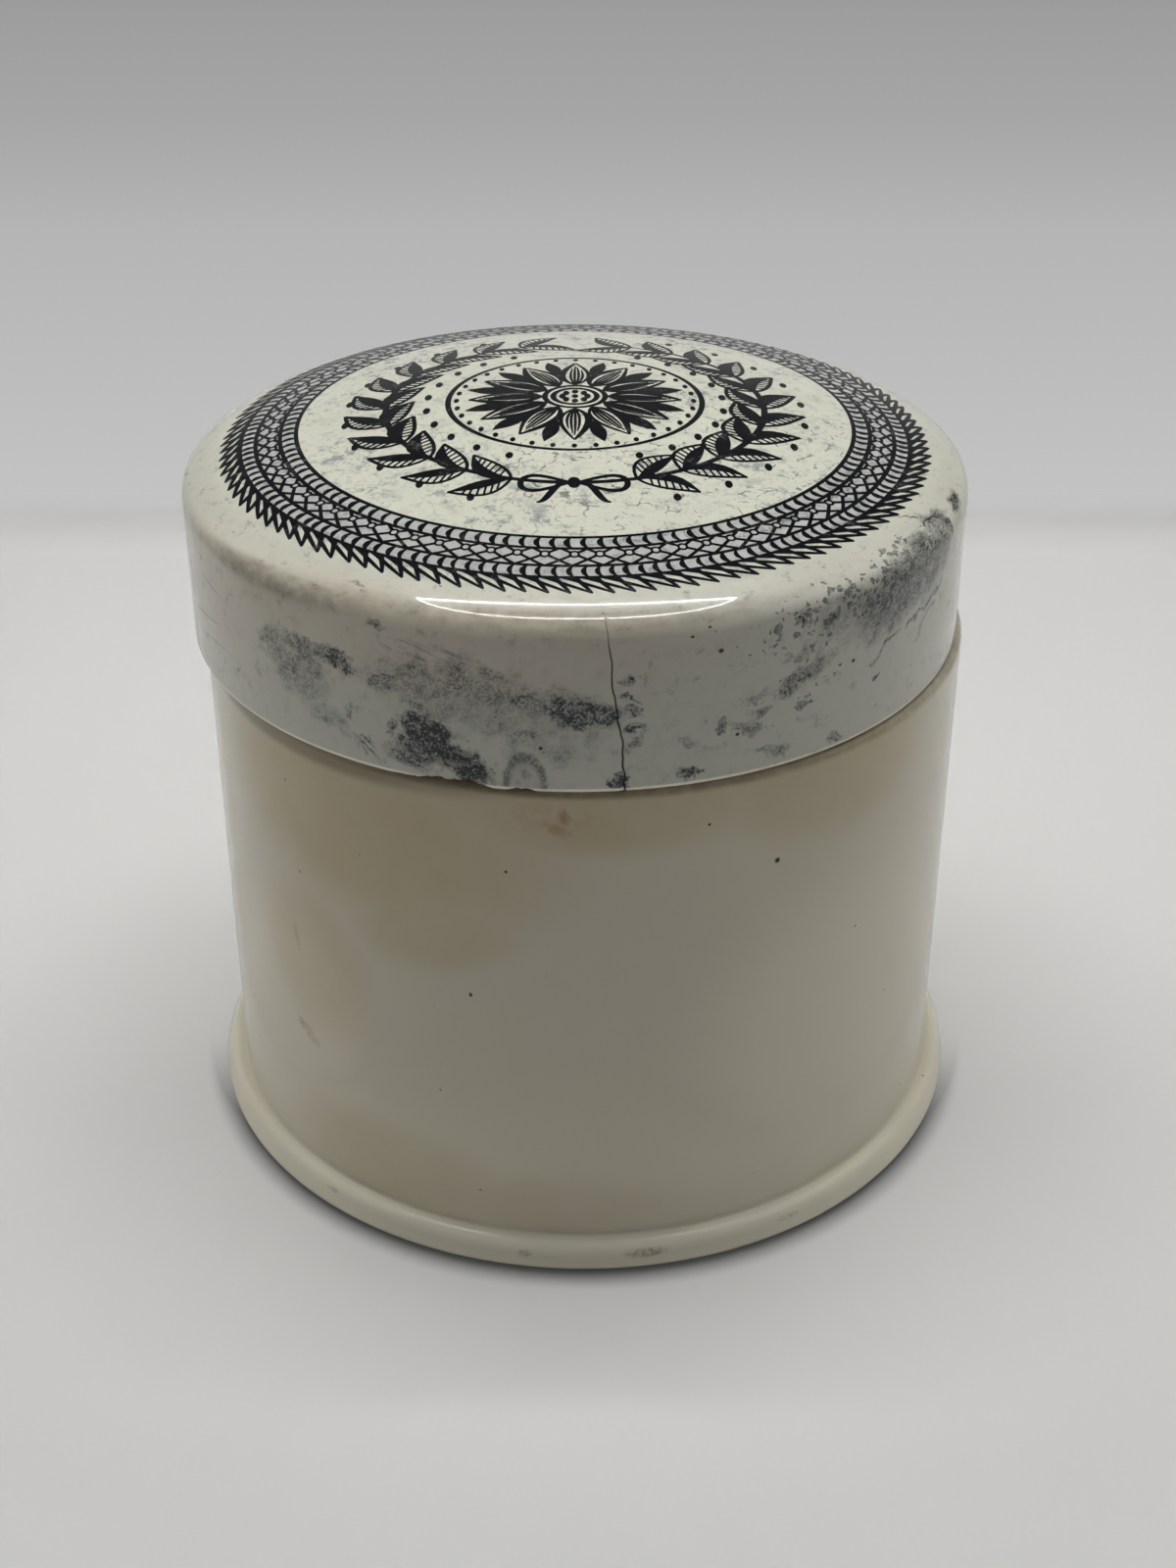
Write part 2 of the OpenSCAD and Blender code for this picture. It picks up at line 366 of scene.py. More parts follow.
def turned(grid):
    """Points and faces of a turned body. The grid holds rings of points, first and last ring drawn in to
    one point on the axis. Each ring joins the next by quads, and the two end points by fans."""
    rings, turns = grid.shape[:2]
    inner = grid[1:-1]
    points = np.concatenate([inner.reshape(-1, 3), grid[:1, 0], grid[-1:, 0]])
    index = np.arange((rings - 2) * turns).reshape(rings - 2, turns)
    after = np.roll(index, -1, axis=1)
    quads = np.stack([index[:-1], after[:-1], after[1:], index[1:]], axis=-1).reshape(-1, 4)
    first, last = len(points) - 2, len(points) - 1
    low = np.stack([np.full(turns, first), after[0], index[0]], axis=-1)
    high = np.stack([np.full(turns, last), index[-1], after[-1]], axis=-1)
    return points, [quads, low, high]


def on_grid(mask):
    """A mask over the grid in the order of the points that turned() gives."""
    return np.concatenate([mask[1:-1].ravel(), mask[0, :1], mask[-1, :1]])


def revolve(path, turn, centre):
    """Carries each point (r, z) of a path round the axis: x = centre + r cos a, y = r sin a."""
    radius = path[:, 0][:, None]
    height = path[:, 1][:, None] + 0 * turn
    return np.stack([centre + radius * np.cos(turn), radius * np.sin(turn), height], axis=-1)


def bump(value, centre, half_width):
    """A smooth hill that is 1 at the centre and 0 from half_width away: (1 - d squared) squared."""
    away = np.clip(np.abs(value - centre) / half_width, 0, 1)
    return (1 - away ** 2) ** 2


def hand_turned(turn, height, size):
    """Slight waves left by turning the clay: a sum of slow sines round and up the body, size in mm."""
    around = np.sin(2 * turn + 0.7) + 0.6 * np.sin(3 * turn + 2.1) + 0.35 * np.sin(7 * turn + height * 0.11)
    upward = 0.5 * np.sin(height * 0.55 + 0.8 * np.sin(turn)) + 0.3 * np.sin(height * 1.3 + turn)
    return size * (around + upward) / 2.5


def swell(grid, offset, centre):
    """Moves the points of a grid outwards from the upright axis by offset."""
    out = grid[..., :2] - np.array([centre, 0])
    radius = np.maximum(np.hypot(out[..., 0], out[..., 1]), 1e-6)[..., None]
    moved = grid.copy()
    moved[..., :2] += out / radius * offset[..., None]
    return moved


# Strokes of the print

def strokes(path, width, closed=False):
    """Raised ink lines. A path is an array of lines by points by (x, y) on the lid's plan, and each line is
    a strip of four-sided sections: half the width to each side, a hair above the glaze and a hair below.
    The print is heavier at the lid's sides: a width grows by the factor 1 + 0.35 (x / r) squared."""
    sizes = Millimetres(settings("print_sizes"))
    crown = Crown()
    path = np.asarray(path, float)
    ahead = np.roll(path, -1, axis=1) if closed else np.concatenate([path[:, 1:], path[:, -1:]], axis=1)
    behind = np.roll(path, 1, axis=1) if closed else np.concatenate([path[:, :1], path[:, :-1]], axis=1)
    along = ahead - behind
    along /= np.maximum(np.linalg.norm(along, axis=-1, keepdims=True), 1e-9)
    left = np.stack([-along[..., 1], along[..., 0]], axis=-1)
    press = 1 + 0.35 * path[..., 0] ** 2 / np.maximum(np.sum(path ** 2, axis=-1), 1)
    half = (np.broadcast_to(width, path.shape[:2]) * press * settings("print_sizes").weight / 2)[..., None]
    sides = [path - left * half, path + left * half]
    sections = []
    over, under = sizes.ink_height, -0.03
    for side, lift in ((0, over), (1, over), (1, under), (0, under)):
        plan = sides[side]
        height = crown.top(np.hypot(plan[..., 0], plan[..., 1])) + lift
        sections.append(np.concatenate([plan + [crown.centre, 0], height[..., None]], axis=-1))
    grid = np.stack(sections, axis=2)
    lines, points = grid.shape[:2]
    index = np.arange(lines * points * 4).reshape(lines, points, 4)
    following = np.roll(index, -1, axis=1) if closed else index[:, 1:]
    current = index if closed else index[:, :-1]
    faces = [np.stack([current, following, np.roll(following, -1, axis=2), np.roll(current, -1, axis=2)],
                      axis=-1).reshape(-1, 4)]
    if not closed:
        faces += [index[:, 0], index[:, -1, ::-1]]
    return grid.reshape(-1, 3), faces


def polar(angle, radius):
    """Places on the lid's plan. The angle is in radians from the front, growing to the right."""
    angle, radius = np.broadcast_arrays(angle, radius)
    return np.stack([radius * np.sin(angle), -radius * np.cos(angle)], axis=-1)


def taper(share, root, middle, tip):
    """Width along a stroke: a smooth curve through its width at the root, in the middle and at the tip."""
    rise = root + (middle - root) * np.sin(np.pi * np.clip(share, 0, 0.5))
    fall = tip + (middle - tip) * np.sin(np.pi * np.clip(share, 0.5, 1))
    return np.where(share < 0.5, rise, fall)


def join_strokes(parts):
    """Points and faces of several groups of strokes as one mesh."""
    points, faces, count = [], [], 0
    for part_points, part_faces in parts:
        faces += [block + count for block in part_faces]
        points.append(part_points)
        count += len(part_points)
    return np.concatenate(points), faces


def circles(radii, width):
    """Closed circles round the lid's axis."""
    turn = np.linspace(0, 2 * np.pi, 360, endpoint=False)
    return strokes(polar(turn[None, :], np.array(radii)[:, None]), width, closed=True)


def uneven(count, jitter, seed):
    """Evenly spread angles, each moved by up to a share of its spacing, as engraved by hand."""
    spacing = 2 * np.pi / count
    moved = np.random.default_rng(seed).uniform(-jitter, jitter, count)
    return (np.arange(count) + moved) * spacing, spacing


def rope(inner, outer, count, seed):
    """A row of crescents between two circles: each bows to the left, thick in its middle."""
    angle, spacing = uneven(count, 0.10, seed)
    share = np.linspace(0, 1, 8)
    bow = 0.36 * np.sin(np.pi * share) ** 0.8
    lean = 0.10 * (share - 0.5)
    radius = inner + (outer - inner) * share
    path = polar(angle[:, None] - (bow - lean)[None, :] * spacing, radius[None, :])
    heavy = np.random.default_rng(seed + 1).uniform(0.27, 0.37, count)[:, None]
    return strokes(path, taper(share, 0.12, 1.0, 0.12)[None, :] * heavy)


def net(inner, outer, count):
    """Two families of slanting lines, each one and a half cells long, that cross at a third and at two
    thirds of the depth. At the first crossing they stop short of a small ring."""
    angle, spacing = uneven(count, 0.05, 31)
    depth = outer - inner
    ring = 0.38
    gap = ring / np.hypot(depth, 1.5 * spacing * outer)
    parts = []
    for side in (-1, 1):
        for start, stop in ((0.0, 1 / 3 - gap), (1 / 3 + gap, 1.0)):
            share = np.linspace(start, stop, 4)
            path = polar(angle[:, None] + side * 1.5 * (share[None, :] - 1 / 3) * spacing,
                         (inner + depth * share)[None, :])
            parts.append(strokes(path, 0.185 + 0 * share[None, :]))
    turn = np.linspace(0, 2 * np.pi, 12, endpoint=False)
    middle = polar(angle, inner + depth / 3)[:, None, :]
    rings = middle + ring * np.stack([np.cos(turn), np.sin(turn)], axis=-1)[None, :, :]
    parts.append(strokes(rings, 0.14, closed=True))
    return join_strokes(parts)


def fringe(inner, outer, count):
    """Long pointed blades. Each has a heavy stroke from its root and a fine one from two blades back, and
    both bend towards the tip, which leans to the right."""
    angle, spacing = uneven(count, 0.06, 47)
    reach = outer + np.random.default_rng(48).uniform(-0.12, 0.10, count)
    share = np.linspace(0, 1, 8)
    tip = 0.86 * spacing
    heavy = polar(angle[:, None] + tip * share[None, :] ** 0.9,
                  inner + (reach[:, None] - inner) * share[None, :])
    fine_start = -1.55 * spacing
    fine = polar(angle[:, None] + fine_start + (tip - fine_start) * share[None, :],
                 inner + (reach[:, None] - inner) * (share ** 1.12)[None, :])
    return join_strokes([strokes(heavy, taper(share, 0.38, 0.25, 0.11)[None, :]),
                         strokes(fine, taper(share, 0.21, 0.22, 0.11)[None, :])])


def placed(shape, middle, direction):
    """Copies of a flat shape. Its x runs along each direction, its y to the left of it."""
    cos, sin = np.cos(direction)[:, None], np.sin(direction)[:, None]
    x = shape[None, :, 0] * cos - shape[None, :, 1] * sin
    y = shape[None, :, 0] * sin + shape[None, :, 1] * cos
    return middle[:, None, :] + np.stack([x, y], axis=-1)


def leaf(middle, direction, long, wide, side):
    """An engraved leaf: one half solid, the other half an outline with hatching. A half is as wide as
    wide times the sine of the way along it, and side says which half is solid."""
    share = np.linspace(0, 1, 9)
    half = wide * np.sin(np.pi * share ** 0.85)
    bend = 0.10 * long * np.sin(np.pi * share)
    rib = np.stack([long * share, bend], axis=-1)
    solid = rib + np.stack([0 * share, side * half / 2], axis=-1)
    edge = rib - np.stack([0 * share, side * half], axis=-1)
    parts = [strokes(placed(solid, middle, direction), np.maximum(0.62 * half, 0.08)[None, :]),
             strokes(placed(edge, middle, direction), 0.20 + 0 * share[None, :])]
    for step in (0.20, 0.31, 0.42, 0.53, 0.64, 0.74):
        root = np.array([long * step, 0.10 * long * np.sin(np.pi * step)])
        tip = root + [long * 0.08, -side * wide * 0.9 * np.sin(np.pi * (step + 0.08) ** 0.85)]
        hatch = root + (tip - root) * np.linspace(0, 1, 3)[:, None]
        parts.append(strokes(placed(hatch, middle, direction), 0.13 + np.zeros((1, 3))))
    return join_strokes(parts)


def wreath(radius, leaves):
    """Two branches that start side by side at the front and nearly meet at the back, leaves in pairs."""
    parts = []
    share = np.linspace(0.10, 0.90, leaves)
    for side in (-1, 1):
        angle = side * np.pi * share
        middle = polar(angle, radius)
        heading = np.arctan2(side * np.sin(angle), side * np.cos(angle))
        for lean in (-1, 1):
            parts.append(leaf(middle, heading + lean * 0.60, 5.9, 1.22, -lean))
        stem_share = np.linspace(0.015, 0.94, 90)
        stem = polar(side * np.pi * stem_share, radius)[None, :, :]
        parts.append(strokes(stem, taper(stem_share, 0.34, 0.30, 0.14)[None, :]))
        berry_angle = angle[:-1] + side * np.pi * 0.45 * (share[1] - share[0])
        for out in (-3.9, 3.9):
            parts.append(dots(polar(berry_angle, radius + out), 0.36))
    return join_strokes(parts)


def ribbon(radius):
    """A bow that ties both branches at the front. A loop is x = 2.4 (1 - cos t), y = sin t (1 - cos t)."""
    share = np.linspace(0, 1, 25)
    turn = 2 * np.pi * share
    parts = [dots(np.array([[0.0, -radius]]), 0.6)]
    for side in (-1, 1):
        loop = np.stack([side * 2.4 * (1 - np.cos(turn)),
                         -radius + 1.0 * np.sin(turn) * (1 - np.cos(turn))], axis=-1)
        tail = np.stack([side * (0.3 + 3.0 * share ** 0.8),
                         -radius - 3.2 * share + 0.45 * np.sin(2 * np.pi * share)], axis=-1)
        parts.append(strokes(loop[None, :, :], taper(share, 0.16, 0.36, 0.16)[None, :]))
        parts.append(strokes(tail[None, :, :], taper(share, 0.20, 0.42, 0.12)[None, :]))
    return join_strokes(parts)


def dots(middle, radius):
    """Round dots, each a short wide stroke whose width follows the chord of a circle."""
    share = np.cos(np.linspace(np.pi, 0, 9))
    path = middle[:, None, :] + radius * np.stack([share, 0 * share], axis=-1)[None, :, :]
    return strokes(path, np.maximum(2 * radius * np.sqrt(1 - share ** 2), 0.02)[None, :])


def petal_edge(middle, side, wide, root, tip, share):
    """A path up a petal at a share of its half width, which is wide times a sine of the way along it."""
    radius = (root + (tip - root) * share)[None, :]
    return polar(middle + side * (wide * np.sin(np.pi * share ** 0.8))[None, :] / radius, radius)


def rosette(petals):
    """A flower of hatched petals with solid darts between them, round a ringed eye."""
    share = np.linspace(0, 1, 12)
    middle = (np.arange(petals) * 2 * np.pi / petals)[:, None]
    root, tip, wide = 3.2, 10.2, 1.32
    parts = [circles([2.9, 2.1, 12.2], 0.26),
             strokes(petal_edge(middle, -1, wide, root, tip, share), taper(share, 0.16, 0.26, 0.12)[None, :]),
             strokes(petal_edge(middle, 1, wide, root, tip, share), taper(share, 0.18, 0.45, 0.16)[None, :])]
    for vein, end in ((-0.55, 0.66), (-0.25, 0.80), (0.05, 0.86), (0.35, 0.74)):
        parts.append(strokes(petal_edge(middle, vein, wide, root, tip, share * end),
                             taper(share, 0.12, 0.18, 0.08)[None, :]))
    dart = polar(middle + np.pi / petals + 0 * share[None, :], (6.2 + 4.6 * share)[None, :])
    parts.append(strokes(dart, taper(share, 0.05, 0.90, 0.05)[None, :]))
    eye = polar(np.arange(8) * 2 * np.pi / 8, 1.2)
    parts.append(dots(np.concatenate([eye, np.zeros((1, 2))]), 0.32))
    parts.append(dots(polar(np.arange(petals * 3) * 2 * np.pi / (petals * 3), 11.4), 0.26))
    return join_strokes(parts)


# Materials

def opaque(colour):
    """A colour with 1 as its fourth value. A socket stays as it is."""
    return colour if isinstance(colour, bpy.types.NodeSocket) else (*colour, 1.0)


def shade(name):
    """One of the pot's colours as a tuple."""
    return tuple(getattr(settings("pot_colours"), name))


class Finish:
    """A material's nodes, made by short calls. A value that is a socket is linked, any other is set."""

    def __init__(self, name):
        self.material = bpy.data.materials.new(name)
        self.material.use_nodes = True
        self.tree = self.material.node_tree
        self.tree.nodes.clear()
        self.base = None
        place = self.add("ShaderNodeTexCoord").outputs["Object"]
        self.mm = self.mapped(place, scale=(1 / MM, 1 / MM, 1 / MM))

    def add(self, kind, inputs=None, **options):
        """A node with its options set and its inputs fed, by name or by number."""
        node = self.tree.nodes.new(kind)
        for option, value in options.items():
            setattr(node, option, value)
        for key, value in (inputs or {}).items():
            if isinstance(value, bpy.types.NodeSocket):
                self.tree.links.new(value, node.inputs[key])
            else:
                node.inputs[key].default_value = value
        return node

    def mapped(self, vector, location=(0, 0, 0), rotation=(0, 0, 0), scale=(1, 1, 1), kind="POINT"):
        """The vector scaled, turned and moved, or for the kind TEXTURE the same the other way round."""
        return self.add("ShaderNodeMapping", {"Vector": vector, "Location": location, "Rotation": rotation,
                                              "Scale": scale}, vector_type=kind).outputs[0]

    def mask(self, name):
        """A mask that the mesh holds."""
        return self.add("ShaderNodeAttribute", attribute_name=name).outputs["Fac"]

    def math(self, operation, a, b=0.5, clamp=False):
        """One step of arithmetic on a and b."""
        return self.add("ShaderNodeMath", {0: a, 1: b}, operation=operation, use_clamp=clamp).outputs[0]

    def all_of(self, *values):
        """The product of masks, which is how much all of them have."""
        product = values[0]
        for value in values[1:]:
            product = self.math("MULTIPLY", product, value)
        return product

    def most_of(self, *values):
        """The largest of masks."""
        most = values[0]
        for value in values[1:]:
            most = self.math("MAXIMUM", most, value)
        return most

    def span(self, value, low, high, to_low=0.0, to_high=1.0):
        """A smooth step from low to high."""
        return self.add("ShaderNodeMapRange", {"Value": value, "From Min": low, "From Max": high,
                                               "To Min": to_low, "To Max": to_high},
                        interpolation_type="SMOOTHSTEP").outputs[0]

    def noise(self, scale, detail=3.0, roughness=0.55, vector=None, distortion=0.0):
        """Cloudy noise whose blobs are about 1 / scale millimetres across."""
        return self.add("ShaderNodeTexNoise", {"Vector": vector or self.mm, "Scale": scale, "Detail": detail,
                                               "Roughness": roughness, "Distortion": distortion}).outputs[0]

    def cells(self, scale, feature="F1", vector=None):
        """A node that splits space into cells about 1 / scale millimetres across."""
        inputs = {"Vector": vector or self.mm, "Scale": scale}
        return self.add("ShaderNodeTexVoronoi", inputs, feature=feature)

    def chance(self, cell):
        """A number from 0 to 1 that is drawn for each cell."""
        return self.add("ShaderNodeSeparateColor", {0: cell.outputs["Color"]}).outputs[0]

    def specks(self, scale, edge, core, rare, common):
        """Round specks in the middle of some cells. A speck fades from its core to its edge, in shares of a
        cell. It comes in with a cell's chance, from rare on, and is full from common on."""
        cell = self.cells(scale)
        return self.all_of(self.span(cell.outputs["Distance"], edge, core),
                           self.span(self.chance(cell), rare, common))

    def fading(self, vector):
        """1 at the vector's origin, falling evenly to 0 at a distance of 1."""
        return self.add("ShaderNodeTexGradient", {"Vector": vector}, gradient_type="SPHERICAL").outputs[1]

    def mix(self, factor, a, b):
        """The colour b over a by the factor."""
        return self.add("ShaderNodeMix", {0: factor, 6: opaque(a), 7: opaque(b)}, data_type="RGBA").outputs[2]

    def cover(self, name, *masks):
        """Lays one of the pot's colours over the base, as densely as the product of the masks."""
        self.base = self.mix(self.all_of(*masks), self.base, shade(name))

    def unroll(self, radius, centre):
        """Lays the outside of a turned body flat: x runs round it from the front to the right, y up its
        wall and on over its top. Both are in millimetres."""
        self.side, self.back, self.height = self.add("ShaderNodeSeparateXYZ", {
            0: self.mapped(self.mm, (-centre, 0, 0))}).outputs
        square = self.math("ADD", self.math("MULTIPLY", self.side, self.side),
                           self.math("MULTIPLY", self.back, self.back))
        self.away = self.math("SQRT", square)
        self.radius = radius
        angle = self.math("ARCTAN2", self.side, self.math("MULTIPLY", self.back, -1.0))
        upward = self.math("ADD", self.height, self.math("SUBTRACT", radius, self.away))
        self.flat = self.add("ShaderNodeCombineXYZ", {0: self.math("MULTIPLY", angle, radius),
                                                      1: upward}).outputs[0]
        self.place = self.flat

    def dab(self, azimuth, height, wide, tall, tilt=0.0, strength=1.0):
        """An oval on the flat map, of half sizes wide and tall, that fades to its edge. The azimuth is in
        degrees from the front, growing to the right, and a tilt rises to the right."""
        middle = (np.radians(azimuth) * self.radius, height, 0)
        inside = self.mapped(self.place, middle, (0, 0, np.radians(tilt)), (wide, tall, 1), "TEXTURE")
        return self.span(self.fading(inside), 0.0, 0.6, 0.0, strength)

    def brushed(self, tilt, along, across, detail=3.0, curl=0.0):
        """Noise drawn out into strokes of a length and a width in mm, at a tilt on the flat map."""
        drawn = self.mapped(self.flat, (0, 0, 0), (0, 0, np.radians(tilt)), (along, across, 1), "TEXTURE")
        return self.noise(1.0, detail, 0.6, drawn, curl)

    def warped(self, vector, scale, size):
        """The place moved in x and y by cloudy noise, by up to half the size in mm to either side."""
        cloud = self.add("ShaderNodeTexNoise", {"Vector": vector, "Scale": scale, "Detail": 2.0}).outputs[1]
        shift = self.add("ShaderNodeVectorMath", {0: cloud, 1: (size, size, 0), 2: (-size / 2, -size / 2, 0)},
                         operation="MULTIPLY_ADD").outputs[0]
        return self.add("ShaderNodeVectorMath", {0: vector, 1: shift}, operation="ADD").outputs[0]

    def inked(self, strength, ragged, grain):
        """How densely ink lies: strength + 0.9 (ragged - 0.5) - 0.08, from 0 up, times 0.40 + 1.2 grain.
        Both noises are about a half on average."""
        edged = self.math("ADD", strength, self.math("MULTIPLY", self.math("SUBTRACT", ragged, 0.5), 0.9))
        held = self.math("MAXIMUM", self.math("SUBTRACT", edged, 0.08), 0.0)
        speckled = self.math("ADD", self.math("MULTIPLY", grain, 1.2), 0.40)
        return self.math("MULTIPLY", held, speckled, clamp=True)

    def matt(self, colour):
        """A matt surface of a colour."""
        return self.add("ShaderNodeBsdfDiffuse", {"Color": opaque(colour)})

    def glow(self, colour, strength=1.0):
        """An even light of a colour."""
        return self.add("ShaderNodeEmission", {"Color": opaque(colour), "Strength": strength})

    def both(self, one, other):
        """Two shaders added together."""
        return self.add("ShaderNodeAddShader", {0: one.outputs[0], 1: other.outputs[0]})

    def blend(self, factor, a, b):
        """The shader b over a by the factor."""
        return self.add("ShaderNodeMixShader", {0: factor, 1: a.outputs[0], 2: b.outputs[0]})

    def surface(self, shader):
        """Ends the material in a shader."""
        self.add("ShaderNodeOutputMaterial", {"Surface": shader.outputs[0]})
        return self.material

    def glaze(self, roughness, height=None, depth=0.02 * MM, coat=0.7, gleam=0.06):
        """Ends the material as a glaze: the base colour under a clear coat, with the glaze's own fine
        unevenness. The gleam is how strongly the colour itself shines."""
        inputs = {"Base Color": self.base, "Roughness": roughness, "Specular IOR Level": gleam,
                  "Coat Weight": coat, "Coat Roughness": 0.018, "IOR": 1.5}
        if height is not None:
            inputs["Normal"] = self.add("ShaderNodeBump", {"Height": height, "Distance": depth,
                                                           "Strength": 1.0}).outputs[0]
        return self.surface(self.add("ShaderNodeBsdfPrincipled", inputs))


def ivory(finish, outside):
    """The pot's ivory with soft clouds, paler at both sides, painted paler low on the wall against the
    shade near the floor, and its old tan stains.
    """
    dab = finish.dab
    cloud = finish.span(finish.noise(0.045, 3, 0.6), 0.35, 0.7)
    finish.base = finish.mix(cloud, shade("cream"), shade("cream_cloud"))
    # Paler at both sides; low on the wall the paling is painted light that lifts the shade near the floor.
    finish.cover("pale_cream_and_painted_light", finish.most_of(
        finish.span(finish.height, 26.0, 5.0, 0.0, 0.54),
        dab(42, 22, 24, 24, 0, 0.42),
        dab(-50, 22, 14, 16, 0, 0.45)))
    stain = finish.most_of(
        dab(-33, 46.5, 26, 13, -4, 0.95),
        dab(-2, 51, 24, 5.5, 0, 0.95),
        dab(-22, 37, 11, 5.5, 12, 0.85),
        dab(-44, 29, 10, 12, 15, 0.6),
        dab(36, 51, 17, 8, -8, 0.85),
        dab(-31, 7, 17, 8, 0, 0.62),
        dab(-6, 6.5, 16, 5, 0, 0.45),
        dab(138, 40, 26, 16, 0, 0.9))
    cloudy = finish.span(finish.noise(0.11, 4, 0.6), 0.25, 0.75, 0.6, 1.0)
    finish.cover("tan", stain, cloudy, outside, 0.60)


def pot_marks(finish, outside, fine):
    """Small rusty marks, fine specks and four black spots on the pot's wall."""
    dab = finish.dab
    rust = finish.most_of(
        dab(-2.6, 51.0, 1.0, 1.3, 20, 0.75),
        dab(-3.4, 49.6, 2.4, 0.9, -30, 0.5),
        dab(-5, 50.8, 6, 2.4, 0, 0.22),
        dab(-46.0, 19.2, 2.4, 0.9, -32, 0.5),
        dab(-47, 30, 0.5, 2.4, 10, 0.25))
    finish.cover("rust", rust, finish.span(fine, 0.30, 0.62), outside)
    finish.cover("pot_speck", finish.specks(0.30, 0.062, 0.03, 0.62, 0.75), 0.6)
    spot = finish.most_of(
        dab(27.5, 43.9, 0.38, 0.38),
        dab(-16, 31, 0.24, 0.3),
        dab(17, 49.3, 0.2, 0.2),
        dab(-10.5, 45, 0.2, 0.2))
    finish.cover("pot_spot", spot, outside)


def pot_dirt_and_shade(finish, outside, fine):
    """Brown dirt and painted shade under the lid, most at the left, a little painted shade in the corner
    over the bead, and smears on the bead.
    """
    dab = finish.dab
    upright = finish.add("ShaderNodeSeparateXYZ", {0: finish.flat}).outputs[1]
    # Brown dirt and painted shade just under the lid's rim, most at the left where the lid overhangs.
    under_lid = finish.all_of(finish.span(upright, 52.5, 53.4), finish.span(fine, 0.2, 0.7, 0.45, 1.0), 0.50)
    at_left = dab(-43, 52.9, 25, 2.0, 0, 0.57)
    # Painted shade in the corner where the wall rises from the bead.
    corner_shade = finish.all_of(finish.span(finish.height, 3.0, 3.2), finish.span(finish.height, 4.2, 3.3),
                              0.06)
    finish.cover("dirt_and_shade", finish.most_of(under_lid, at_left, corner_shade), outside)
    smear = finish.most_of(
        dab(8.8, 0.2, 2.6, 0.8, 0, 1.0),
        dab(-8.4, 0.1, 0.9, 0.6, 0, 0.8),
        dab(-40, 0.6, 1.2, 0.5, 0, 0.5),
        dab(31, 0.2, 1.6, 0.5, 0, 0.5))
    finish.cover("smear", smear, finish.span(finish.noise(2.6, 5, 0.75), 0.32, 0.70), outside, 0.8)


def cream_glaze():
    """Ivory glaze with old tan stains, dark specks, brown dirt and painted shade under the lid, and
    painted shade in the corner of the foot. It lies thick and pale on the bead, with a painted
    highlight low on its front."""
    finish = Finish("cream_glaze")
    pot = Millimetres(settings("pot_sizes"))
    finish.unroll(pot.foot_radius - pot.foot_step, 0)
    outside = finish.mask("outside")
    fine = finish.noise(0.7, 4, 0.6)
    thick = finish.all_of(finish.span(finish.away, finish.radius + 0.05, finish.radius + 0.5), outside)
    ivory(finish, outside)
    finish.cover("bead", thick)
    # Painted highlight: a paler band along the front of the bead, where the lamps' sheen would fall.
    finish.cover("bead_painted_highlight", finish.dab(0, 2.6, 56, 3.0), thick)
    pot_marks(finish, outside, fine)
    pot_dirt_and_shade(finish, outside, fine)
    ripple = finish.math("MULTIPLY", finish.noise(0.35, 2), thick)
    rough = finish.span(finish.dab(-3, 5.0, 22, 4.0), 0.1, 0.6, 0.30, 0.12)
    return finish.glaze(rough, ripple, 0.05 * MM, gleam=finish.span(thick, 0, 1, 0.06, 0.5))


class LidFinish(Finish):
    """The lid's material, laid flat, with the noises that its marks share: soft clouds, torn edges and the
    grain of the ink."""

    def __init__(self):
        super().__init__("white_glaze")
        lid = Millimetres(settings("lid_sizes"))
        self.unroll(lid.radius, lid.centre)
        self.outside = self.mask("outside")
        self.low = self.math("MULTIPLY", self.span(self.away, 31.8, 36.0), self.outside)
        self.soft = self.noise(0.22, 4, 0.6)
        self.torn = self.noise(0.55, 4, 0.62, self.flat)
        fine = self.math("MULTIPLY", self.noise(3.6, 3, 0.7, self.flat), 0.62)
        coarse = self.math("MULTIPLY", self.noise(1.3, 3, 0.6, self.flat), 0.38)
        self.grain = self.span(self.math("ADD", fine, coarse), 0.40, 0.60)

    def ink(self, name, mask, grain=None):
        """Covers the outside with ink of one of the colours, torn at its edges and grainy."""
        self.cover(name, self.inked(mask, self.torn, grain or self.grain), self.outside)


def lid_ground(finish):
    """White with a hint of green, greyed on skirt and shoulder by painted shade, browned in places there with
    painted warm light at the front, with thin dirt and painted shade along the foot of the shoulder, and
    greyed by ink under the border."""
    dab = finish.dab
    sizes = Millimetres(settings("print_sizes"))
    finish.base = finish.mix(finish.span(finish.soft, 0.35, 0.7), shade("white"), shade("white_cloud"))
    # Painted shade: skirt and shoulder are greyed where the light falls off.
    finish.cover("skirt", finish.low)
    # Browned glaze, and at the front and left painted warm light from the front.
    browned_and_warm_lit = finish.most_of(
        dab(-20, 67.5, 34, 7.5, 0, 1.0),
        dab(-60, 64, 14, 9, 0, 0.9),
        dab(130, 62, 30, 8, 0, 0.8))
    finish.cover("warm_glaze_and_light", browned_and_warm_lit, finish.span(finish.soft, 0.2, 0.6, 0.6, 1.0), finish.outside)
    # Thin dirt at the left, and painted shade across the front of the shoulder where it turns from the light.
    grime_and_shade_mask = finish.most_of(dab(-42, 69.2, 17, 2.1, 3, 0.66), dab(-4, 70.5, 32, 2.3, 0, 0.58))
    finish.cover("grime_and_shade", grime_and_shade_mask, finish.span(finish.torn, 0.30, 0.60, 0.55, 1.0), finish.outside)
    inside_border = finish.span(finish.away, sizes.inner_ring - 0.1, sizes.inner_ring + 0.1)
    outside_border = finish.span(finish.away, sizes.outer_ring + 0.9, sizes.outer_ring)
    finish.cover("tinted", inside_border, outside_border, finish.outside, 0.85)


